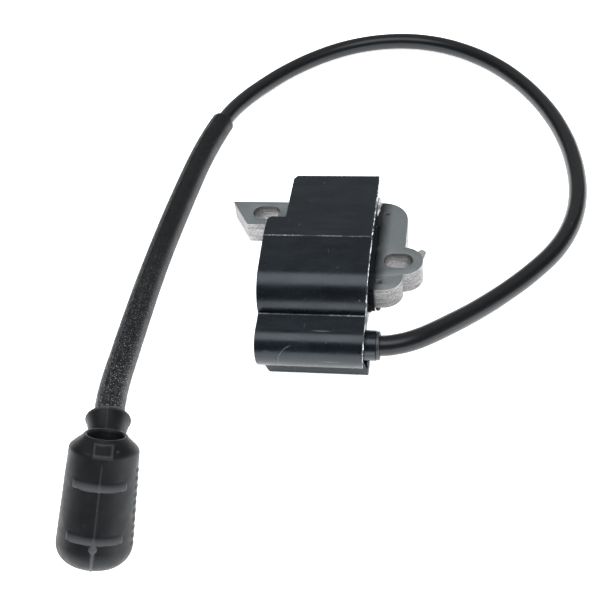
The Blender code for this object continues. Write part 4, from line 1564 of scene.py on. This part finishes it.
@dataclass
class Core:
    """The laminated steel core, its pressed interlocks and the earth tab under its ear."""

    origin: Vector
    sheets: int = 12
    thick: float = 0.65
    pitch: float = 0.70
    leg_half: float = 4.4
    leg_end: float = -18.8
    far_leg: Point2 = (28.4, 41.3)
    pole: Point2 = (-36.5, -29.0)
    back: Point2 = (20.0, 30.0)
    corner: float = 9.6
    ear: tuple[float, float, float] = (29.6, 10.4, 6.9)
    heel: tuple[float, float, float] = (23.3, 2.3, 6.7)
    slots: tuple[Point2, Point2] = ((-22.75, 35.2), (28.0, 10.56))
    slot_size: Point2 = (10.0, 7.0)
    locks: tuple[Point2, Point2] = ((22.1, 35.2), (22.1, 0.0))
    lock_side: float = 1.9
    lock_depth: float = 1.5
    lock_tilt: float = 1.1
    burr: float = 0.05
    slip: float = 0.035
    tab_radius: float = 6.3
    tab_tip: Point2 = (35.2, 25.4)
    tab_half: float = 1.6
    tab_thick: float = 0.6
    tab_burr: float = 0.12
    tab_gap: float = 0.4
    pegs_at: tuple[Point2, Point2] = ((18.7, -4.4), (21.6, -3.4))
    peg_foot: float = -10.3

    def outline(self) -> list[Point2]:
        """The U's edge: heel, ear, back, corner and pole face.

        Returns:
            Its points in millimetres.
        """
        heel, ear = Vector(self.heel[:2]), Vector(self.ear[:2])
        apart = (ear - heel).length
        along = (apart ** 2 + self.heel[2] ** 2 - self.ear[2] ** 2) / (2 * apart)
        across = math.sqrt(self.heel[2] ** 2 - along ** 2)
        unit = (ear - heel) / apart
        notch = heel + unit * along + Vector((unit.y, -unit.x)) * across

        def bearing(centre: Vector) -> float:
            """Angle from a centre to the notch between heel and ear, in degrees."""
            return math.degrees(math.atan2(notch.y - centre.y, notch.x - centre.x))

        top = math.degrees(math.acos((self.back[1] - self.ear[0]) / self.ear[2]))
        bend = (self.back[1] - self.corner, self.far_leg[1] - self.corner)
        points = [(self.pole[1], self.far_leg[0]), (self.back[0], self.far_leg[0]),
                  (self.back[0], self.leg_half), (self.leg_end, self.leg_half),
                  (self.leg_end, -self.leg_half)]
        points += arc(tuple(heel), self.heel[2], -90, bearing(heel), 40)
        points += arc(tuple(ear), self.ear[2], bearing(ear), top, 60)[1:]
        points += arc(bend, self.corner, 0, 90, 36)
        points.append((self.pole[0], self.far_leg[1]))
        return points

    def slot(self, centre: Point2) -> list[Point2]:
        """A round-ended slot along X.

        Args:
            centre: Its middle.

        Returns:
            Its points in millimetres.
        """
        long, wide = self.slot_size
        reach = (long - wide) / 2
        right = arc((centre[0] + reach, centre[1]), wide / 2, -90, 90, 28)
        return right + arc((centre[0] - reach, centre[1]), wide / 2, 90, 270, 28)

    def lock(self, centre: Point2) -> list[Point2]:
        """A square interlock hole.

        Args:
            centre: Its middle.

        Returns:
            Its four corners in millimetres.
        """
        x, y = centre
        half = self.lock_side / 2
        return [(x - half, y - half), (x + half, y - half), (x + half, y + half), (x - half, y + half)]

    def plate(
        self, name: str, outlines: Sequence[Sequence[Point2]], thick: float, burr: float,
    ) -> bpy.types.Mesh:
        """A flat plate with rounded edges, its middle at the height of the origin.

        Args:
            name: The mesh's name.
            outlines: Its edge, then its holes.
            thick: Its thickness.
            burr: The rounding of its edges.

        Returns:
            The plate's mesh in metres, about its own middle.
        """
        curve = bpy.data.curves.new(name, "CURVE")
        curve.dimensions = "2D"
        curve.fill_mode = "BOTH"
        curve.extrude = (thick / 2 - burr) * MM
        curve.bevel_depth = burr * MM
        curve.bevel_resolution = 1
        curve.offset = -burr * MM
        for outline in outlines:
            spline = curve.splines.new("POLY")
            spline.points.add(len(outline) - 1)
            for point, (x, y) in zip(spline.points, outline):
                point.co = (x * MM, y * MM, 0.0, 1.0)
            spline.use_cyclic_u = True
        stand_in = bpy.data.objects.new(name, curve)
        bpy.context.scene.collection.objects.link(stand_in)
        mesh = evaluated(stand_in)
        bpy.data.objects.remove(stand_in)
        shape = bmesh.new()
        shape.from_mesh(mesh)
        bmesh.ops.remove_doubles(shape, verts=shape.verts, dist=1e-6)
        bmesh.ops.recalc_face_normals(shape, faces=shape.faces)
        shape.to_mesh(mesh)
        shape.free()
        return mesh

    def stack(self) -> bpy.types.Object:
        """All the sheets, grown from one by a line of instances that sit a hair out of true.

        Returns:
            The stack's piece.
        """
        outlines = [self.outline()] + [self.slot(c) for c in self.slots] + [self.lock(c) for c in self.locks]
        sheet = self.plate("sheet", outlines, self.thick, self.burr)
        sheet.transform(Matrix.Translation(self.origin + Vector((0, 0, -self.thick / 2)) * MM))
        tree = GeometryTree("sheet_stack", {
            "Count": "NodeSocketInt", "Pitch": "NodeSocketFloat", "Slip": "NodeSocketFloat",
            "Face": "NodeSocketMaterial", "Edge": "NodeSocketMaterial",
        })
        line = tree.node("GeometryNodeMeshLine")
        down = tree.node("ShaderNodeCombineXYZ")
        negative = tree.node("ShaderNodeMath", operation="MULTIPLY")
        negative.inputs[1].default_value = -1.0
        tree.join(tree.given("Pitch"), negative.inputs[0])
        tree.join(negative.outputs[0], down.inputs["Z"])
        tree.join(tree.given("Count"), line.inputs["Count"])
        tree.join(down.outputs[0], line.inputs["Offset"])
        slip = tree.node("FunctionNodeRandomValue", data_type="FLOAT_VECTOR")
        slip.inputs["Min"].default_value = (-1.0, -1.0, 0.0)
        slip.inputs["Max"].default_value = (1.0, 1.0, 0.0)
        slip.inputs["Seed"].default_value = 11
        scaled = tree.node("ShaderNodeVectorMath", operation="SCALE")
        tree.join(slip.outputs["Value"], scaled.inputs[0])
        tree.join(tree.given("Slip"), scaled.inputs["Scale"])
        moved = tree.node("GeometryNodeSetPosition")
        tree.join(line.outputs[0], moved.inputs[0])
        tree.join(scaled.outputs[0], moved.inputs["Offset"])
        copies = tree.node("GeometryNodeInstanceOnPoints")
        tree.join(moved.outputs[0], copies.inputs["Points"])
        tree.join(tree.start.outputs[0], copies.inputs["Instance"])
        tree.finish(copies.outputs[0], "Face", "Edge")
        piece = tree.grow("core_stack", sheet, {
            "Count": self.sheets, "Pitch": self.pitch * MM, "Slip": self.slip * MM,
            "Face": SheetFace().make(), "Edge": ShearedEdge().make(),
        })
        smooth(piece, 50)
        return piece

    def interlocks(self, material: bpy.types.Material) -> bpy.types.Object:
        """The pressed dimples that hold the sheets together: a sloped floor in each square hole, in a
        near-black steel that is painted shade.

        Args:
            material: The steel, painted near black as the dimples' shade.

        Returns:
            The dimples' piece.
        """
        shape = bmesh.new()
        half = self.lock_side / 2 - 0.04
        for x, y in self.locks:
            low, high = -self.sheets * self.pitch + 0.2, -self.lock_depth
            front = high + self.lock_tilt
            corners = [(x - half, y - half, low), (x + half, y - half, low), (x + half, y + half, low),
                       (x - half, y + half, low), (x - half, y - half, front), (x + half, y - half, front),
                       (x + half, y + half, high), (x - half, y + half, high)]
            made = [shape.verts.new(self.origin + Vector(c) * MM) for c in corners]
            for face in ((3, 2, 1, 0), (4, 5, 6, 7), (0, 1, 5, 4), (1, 2, 6, 5), (2, 3, 7, 6), (3, 0, 4, 7)):
                shape.faces.new([made[i] for i in face])
        bmesh.ops.bevel(shape, geom=list(shape.edges), offset=0.09 * MM, segments=2, affect="EDGES")
        bmesh.ops.recalc_face_normals(shape, faces=shape.faces)
        mesh = bpy.data.meshes.new("interlocks")
        shape.to_mesh(mesh)
        shape.free()
        piece = put("interlocks", mesh, material)
        smooth(piece, 40)
        return piece

    def tab(self, material: bpy.types.Material) -> bpy.types.Object:
        """The earth tab: a ring round the ear's slot and a rounded blade past the ear's edge.

        Args:
            material: The tinned brass.

        Returns:
            The tab's piece.
        """
        x, y = self.slots[1]
        half = self.tab_half
        ring = arc((x, y), self.tab_radius, 62, 378, 72)
        tip = arc((self.tab_tip[0], self.tab_tip[1] - half), half, 0, 180, 24)
        edges = [ring + tip, self.slot(self.slots[1])]
        mesh = self.plate("earth_tab_fine", edges, self.tab_thick, self.tab_burr)
        level = -(self.sheets - 1) * self.pitch - self.thick - self.tab_gap
        mesh.transform(Matrix.Translation(self.origin + Vector((0, 0, level)) * MM))
        piece = put("earth_tab_fine", mesh, material)
        smooth(piece, 40)
        return piece

    def pegs(self, material: bpy.types.Material) -> bpy.types.Object:
        """Two round pegs of the coil's bobbin that show under the core at the housing's right end.

        Args:
            material: The moulding compound.

        Returns:
            The pegs' piece.
        """
        profile = [(0.0, 0.0), (0.0, 0.55), (0.12, 0.78), (0.4, 0.86), (1.6, 0.86), (1.6, 0.0)]
        shape = bmesh.new()
        for x, y in self.pegs_at:
            place = Matrix.Translation(self.origin + Vector((x, y, self.peg_foot)) * MM)
            shape.from_mesh(turned("peg", profile, place, 40))
        mesh = bpy.data.meshes.new("bobbin_pegs")
        shape.to_mesh(mesh)
        shape.free()
        piece = put("bobbin_pegs", mesh, material)
        smooth(piece, 40)
        return piece

    def build(self, materials: dict[str, bpy.types.Material]) -> None:
        """Build the core's pieces.

        Args:
            materials: The small finishes by name.
        """
        stack = self.stack()
        tab = self.tab(materials["tinned_brass"])
        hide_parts(*[f"lamination_{i + 1:02d}" for i in range(self.sheets)])
        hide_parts("earth_tab")
        locks = self.interlocks(materials["shaded_dimple_steel"])
        pegs = self.pegs(materials["component_epoxy"])
        for piece, slot in ((stack, "lamination_steel"), (tab, "tinned_brass"), (locks, "lamination_steel"),
                            (pegs, "component_epoxy")):
            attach(piece, BODY)
            LOG.info("%s has %d faces", piece.name, len(piece.data.polygons))


@dataclass
class PlugBoot:
    """The rubber boot: its body, neck and flared collar, and the contact spring in its socket."""

    base: Vector = field(default_factory=lambda: Vector((-56.25, -112.75, 6.3)) * MM)
    rise: float = 50.3
    turn: float = -11.1
    length: float = 36.9
    end_radius: float = 11.4
    shoulder_radius: float = 10.4
    rounding: float = 7.0
    mouth_radius: float = 6.4
    mouth_rise: float = 3.0
    socket_radius: float = 5.5
    socket_floor: float = 12.0
    seam: float = 26.0
    neck_from: Vector = field(default_factory=lambda: Vector((-56.75, -105.35, 6.6)) * MM)
    neck_to: Vector = field(default_factory=lambda: Vector((-65.4, -60.2, 7.6)) * MM)
    neck_radius: float = 6.2
    collar_radius: float = 7.6
    spring_turns: float = 5.0
    spring_radius: float = 4.0
    spring_height: float = 9.5
    spring_wire: float = 0.45

    def place(self) -> Matrix:
        """The boot's own frame: Z up its socket, X to its side, from the middle of its closed end.

        Returns:
            The frame.
        """
        rise, turn = math.radians(self.rise), math.radians(self.turn)
        axis = Vector((-math.sin(turn) * math.cos(rise), math.cos(turn) * math.cos(rise), math.sin(rise)))
        side = Vector((math.cos(turn), math.sin(turn), 0.0))
        matrix = Matrix((side, axis.cross(side), axis)).transposed().to_4x4()
        return Matrix.Translation(self.base) @ matrix

    def profile(self) -> np.ndarray:
        """Points of (height, radius) from the closed end's middle round to the socket's floor.

        Returns:
            One row for each point, in millimetres.
        """
        inner = self.end_radius - self.rounding
        outer = [(0.0, inner * i / 18) for i in range(18)]
        outer += [(self.rounding - h, inner + r) for r, h in arc((0, 0), self.rounding, 90, 0, 46)]
        shoulder = self.length - 1.4
        steps = 118
        outer += [(self.rounding + (shoulder - self.rounding) * i / steps,
                   self.end_radius + (self.shoulder_radius - self.end_radius) * i / steps)
                  for i in range(1, steps + 1)]
        mouth = self.length + self.mouth_rise
        bend = [(shoulder + 0.5, self.shoulder_radius - 0.12), (shoulder + 1.0, self.shoulder_radius - 0.5),
                (shoulder + 1.5, self.shoulder_radius - 1.0)]
        inward = self.mouth_radius + 0.35 - self.shoulder_radius + 1.0
        slope = [(shoulder + 1.5 + (mouth - 0.6 - shoulder - 1.5) * i / 12,
                  self.shoulder_radius - 1.0 + inward * i / 12)
                 for i in range(1, 13)]
        lip = [(mouth - 0.3, self.mouth_radius + 0.2), (mouth - 0.06, self.mouth_radius - 0.05),
               (mouth, self.mouth_radius - 0.35), (mouth - 0.1, self.socket_radius + 0.25),
               (mouth - 0.5, self.socket_radius + 0.05), (mouth - 1.0, self.socket_radius)]
        depth = [(mouth - 1.0 - (mouth - 1.0 - self.socket_floor) * i / 14, self.socket_radius)
                 for i in range(1, 15)]
        floor = [(self.socket_floor, self.socket_radius * (1 - i / 4)) for i in range(1, 5)]
        return np.array(outer + bend + slope + lip + depth + floor)

    def ridge(self, height: np.ndarray, angle: np.ndarray, middle: float) -> np.ndarray:
        """A grip ridge: it slopes out downwards across its width and steps back below.

        Args:
            height: Height up the boot of each point.
            angle: Angle from the camera's side of each point, in degrees.
            middle: Height of the ridge's lower edge.

        Returns:
            How far each point stands proud, in millimetres.
        """
        sag = 0.35 * (1 - ((angle - self.seam) / 44) ** 2)
        up = height - middle + sag
        slope = np.clip(1 - (up - 0.25) / 2.4, 0, 1) * np.clip(up / 0.25, 0, 1)
        ends = np.clip((45.5 - np.abs(angle - self.seam)) / 2.5, 0, 1)
        return 0.62 * slope * ends

    def raised(self, height: np.ndarray, angle: np.ndarray, radius: np.ndarray) -> np.ndarray:
        """All the moulded relief of the body, in millimetres.

        Args:
            height: Height up the boot of each point.
            angle: Angle round it, in degrees.
            radius: Radius of each point.

        Returns:
            How far each point stands proud.
        """
        off = (angle - self.seam) * np.pi / 180 * radius
        proud = self.ridge(height, angle, 26.0) + self.ridge(height, angle, 10.2)
        line = 0.20 * np.exp(-(off / 0.26) ** 2) * np.clip(height, 0, 1) * np.clip((35 - height) / 2, 0, 1)
        nub = np.hypot(off, height - 8.9)
        gate = 0.8 * np.sqrt(np.clip(1 - (nub / 1.25) ** 2, 0, 1))
        tail_wide = np.clip((height - 0.6) / 9, 0.12, 1) * 0.75
        tail = 0.45 * np.exp(-(off / tail_wide) ** 2) * np.clip((8.8 - height) / 1.5, 0, 1)
        tail = tail * np.clip(height, 0, 1)
        edge = np.maximum(np.abs(off) - 2.6, np.abs(radius - 8.8) * 1.41 - 2.0)
        shoulder = np.clip((height - 35.3) * 4, 0, 1)
        box = 0.24 * np.exp(-(edge / 0.38) ** 2) * shoulder
        dot = 0.3 * np.exp(-(np.hypot(off - 4.2, (radius - 9.1) * 1.41) / 0.4) ** 2) * shoulder
        side = np.exp(-((angle - 103) / 6) ** 4) * np.clip((32 - height) * 2, 0, 1)
        side = side * np.clip((height - 7.5) * 2, 0, 1)
        dashes = 0.30 * side * np.clip(3 * np.sin(height * math.tau / 2.5), 0, 1)
        front = np.clip(radius / 2.0 - 0.4, 0, 1)
        return (proud + line + gate + tail + box + dot + dashes) * front

    def body(self, material: bpy.types.Material) -> bpy.types.Object:
        """The body as one turned skin whose relief is moved out along its normal.

        Args:
            material: The rubber.

        Returns:
            The body's piece.
        """
        profile = self.profile()
        segments = 300
        angles = np.linspace(-180, 180, segments, endpoint=False)
        tangent = np.gradient(profile, axis=0)
        tangent /= np.maximum(np.linalg.norm(tangent, axis=1), 1e-9)[:, None]
        out_radius, out_height = tangent[:, 0], -tangent[:, 1]
        rows = len(profile)
        outside = np.arange(rows) < rows - 20
        height = np.repeat(profile[:, :1], segments, 1)
        radius = np.repeat(profile[:, 1:], segments, 1)
        angle = np.repeat(angles[None, :], rows, 0)
        relief = self.raised(height, angle, np.maximum(radius, 0.5)) * outside[:, None]
        wobble = 0.02 * np.sin(angle / 9.0 + height / 3.1) + 0.02 * np.sin(height / 1.9)
        lift = relief + wobble * outside[:, None] * np.clip(radius, 0, 1)
        r = radius + lift * out_radius[:, None]
        h = height + lift * out_height[:, None]
        turn = np.radians(angle) - math.pi / 2
        points = np.stack([r * np.cos(turn), r * np.sin(turn), h], -1).reshape(-1, 3) * MM
        faces = []
        for i in range(rows - 1):
            a, b = i * segments, (i + 1) * segments
            faces += [(a + j, a + (j + 1) % segments, b + (j + 1) % segments, b + j) for j in range(segments)]
        mesh = bpy.data.meshes.new("boot_body")
        mesh.from_pydata([tuple(p) for p in points], [], faces)
        stored = mesh.attributes.new("relief", "FLOAT", "POINT")
        stored.data.foreach_set("value", relief.astype(np.float32).ravel())
        shape = bmesh.new()
        shape.from_mesh(mesh)
        bmesh.ops.remove_doubles(shape, verts=shape.verts, dist=1e-7)
        bmesh.ops.recalc_face_normals(shape, faces=shape.faces)
        shape.to_mesh(mesh)
        shape.free()
        mesh.transform(self.place())
        piece = put("boot_body", mesh, material)
        smooth(piece, 60)
        return piece

    def neck(self, material: bpy.types.Material) -> bpy.types.Object:
        """The neck and its flared collar, with a mould line along the top.

        Args:
            material: The rubber.

        Returns:
            The neck's piece.
        """
        along = self.neck_to - self.neck_from
        reach = along.length / MM
        slim, rim = self.neck_radius, self.collar_radius
        profile = [(0.0, 0.0), (0.0, slim * 0.5), (0.6, slim * 0.85), (1.6, slim)]
        profile += [(1.6 + (reach - 8.6) * i / 30, slim) for i in range(1, 31)]
        flare = 6.4
        profile += [(reach - flare + flare * t, slim + 0.05 + (rim - slim) * t ** 1.8)
                    for t in (i / 20 for i in range(1, 19))]
        profile += [(reach - 0.35, rim + 0.02), (reach - 0.12, rim - 0.05), (reach, rim - 0.25),
                    (reach - 0.05, rim - 0.5), (reach - 0.5, rim - 0.95), (reach - 1.1, rim - 1.45),
                    (reach - 1.9, 5.6), (reach - 2.6, 5.4), (reach - 4.3, 5.35), (reach - 4.3, 0.0)]
        place = Matrix.Translation(self.neck_from) @ along.to_track_quat("Z", "Y").to_matrix().to_4x4()
        mesh = turned("boot_neck", profile, place, 128)
        axis = along.normalized()
        top = Vector((0.25, -0.1, 1.0))
        top = (top - axis * top.dot(axis)).normalized()
        stored = mesh.attributes.new("relief", "FLOAT", "POINT")
        for vertex in mesh.vertices:
            away = vertex.co - self.neck_from
            away -= axis * away.dot(axis)
            if away.length > 4.5 * MM:
                off = math.acos(max(-1.0, min(1.0, away.normalized().dot(top)))) * away.length / MM
                proud = 0.12 * math.exp(-(off / 0.2) ** 2)
                vertex.co += away.normalized() * proud * MM
                stored.data[vertex.index].value = proud * 2 + max(0.0, away.length / MM - rim + 0.4)
        piece = put("boot_neck", mesh, material)
        smooth(piece, 50)
        return piece

    def spring(self, material: bpy.types.Material) -> bpy.types.Object:
        """The contact spring, grown as a helix of round wire.

        Args:
            material: The spring steel.

        Returns:
            The spring's piece.
        """
        tree = GeometryTree("helix", {
            "Turns": "NodeSocketFloat", "Radius": "NodeSocketFloat", "Height": "NodeSocketFloat",
            "Wire": "NodeSocketFloat", "Material": "NodeSocketMaterial",
        })
        helix = tree.node("GeometryNodeCurveSpiral")
        helix.inputs["Resolution"].default_value = 56
        for name, socket in (("Turns", "Rotations"), ("Radius", "Start Radius"), ("Radius", "End Radius"),
                             ("Height", "Height")):
            tree.join(tree.given(name), helix.inputs[socket])
        wire = tree.node("GeometryNodeCurvePrimitiveCircle")
        wire.inputs["Resolution"].default_value = 14
        tree.join(tree.given("Wire"), wire.inputs["Radius"])
        tube = tree.node("GeometryNodeCurveToMesh")
        tree.join(helix.outputs[0], tube.inputs["Curve"])
        tree.join(wire.outputs[0], tube.inputs["Profile Curve"])
        tube.inputs["Fill Caps"].default_value = True
        tree.finish(tube.outputs[0], "Material")
        piece = tree.grow("contact_spring_fine", bpy.data.meshes.new("helix_seed"), {
            "Turns": self.spring_turns, "Radius": self.spring_radius * MM, "Height": self.spring_height * MM,
            "Wire": self.spring_wire * MM, "Material": material,
        })
        piece.data.transform(self.place() @ Matrix.Translation((0, 0, (self.socket_floor + 0.75) * MM)))
        smooth(piece, 50)
        return piece

    def build(self, materials: dict[str, bpy.types.Material]) -> list[bpy.types.Object]:
        """Build the boot's pieces.

        Args:
            materials: The small finishes by name.

        Returns:
            The body, the neck and the spring.
        """
        rubber = BootRubber().make()
        body, neck = self.body(rubber), self.neck(rubber)
        spring = self.spring(materials["spring_steel"])
        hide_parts("plug_boot")
        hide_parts("contact_spring")
        for piece, slot in ((body, "boot_rubber"), (neck, "boot_rubber"), (spring, "spring_steel")):
            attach(piece, BODY)
            LOG.info("%s has %d faces", piece.name, len(piece.data.polygons))
        return [body, neck, spring]


INNER_PIECES = {
    "primary_bobbin": "bobbin_nylon", "charge_bobbin": "bobbin_nylon", "secondary_bobbin": "bobbin_nylon",
    "primary_winding": "enamelled_copper", "charge_winding": "enamelled_copper",
    "secondary_winding_1": "fine_copper", "secondary_winding_2": "fine_copper",
    "secondary_winding_3": "fine_copper", "secondary_winding_4": "fine_copper",
    "circuit_board": "board_laminate", "film_capacitor": "capacitor_film", "thyristor": "component_epoxy",
    "charge_diode": "component_epoxy", "clamp_diode": "component_epoxy", "gate_resistor": "resistor_lacquer",
    "lead_terminal": "terminal_brass",
}


def dress_inner_pieces(materials: dict[str, bpy.types.Material]) -> None:
    """Give the sealed pieces their finishes.

    Args:
        materials: The small finishes by name.
    """
    for node, finish in INNER_PIECES.items():
        for slot in bpy.data.objects[node].material_slots:
            slot.material = materials[finish]
        LOG.info("%s keeps its solid, in %s", node, finish)


def core_origin() -> Vector:
    """The core's own frame: middle of the housing, axis of the near leg, top of the steel."""
    low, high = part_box("lamination_01")
    return Vector((low[0] + 36.5 * MM, high[1] - 41.3 * MM, high[2]))


def main() -> None:
    """Build the studio and every sub-assembly in order."""
    logging.basicConfig(level=logging.INFO, format="%(name)s: %(message)s")
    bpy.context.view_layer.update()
    origin = core_origin()
    Studio().build()
    materials = {name: finish.make() for name, finish in SMALL_FINISHES.items()}
    lead = Lead(origin)
    cord, sleeve = lead.build(materials)
    on_lead = PlugBoot().build(materials)
    Housing(origin).build(materials)
    Core(origin).build(materials)
    dress_inner_pieces(materials)


if __name__ == "__main__":
    main()
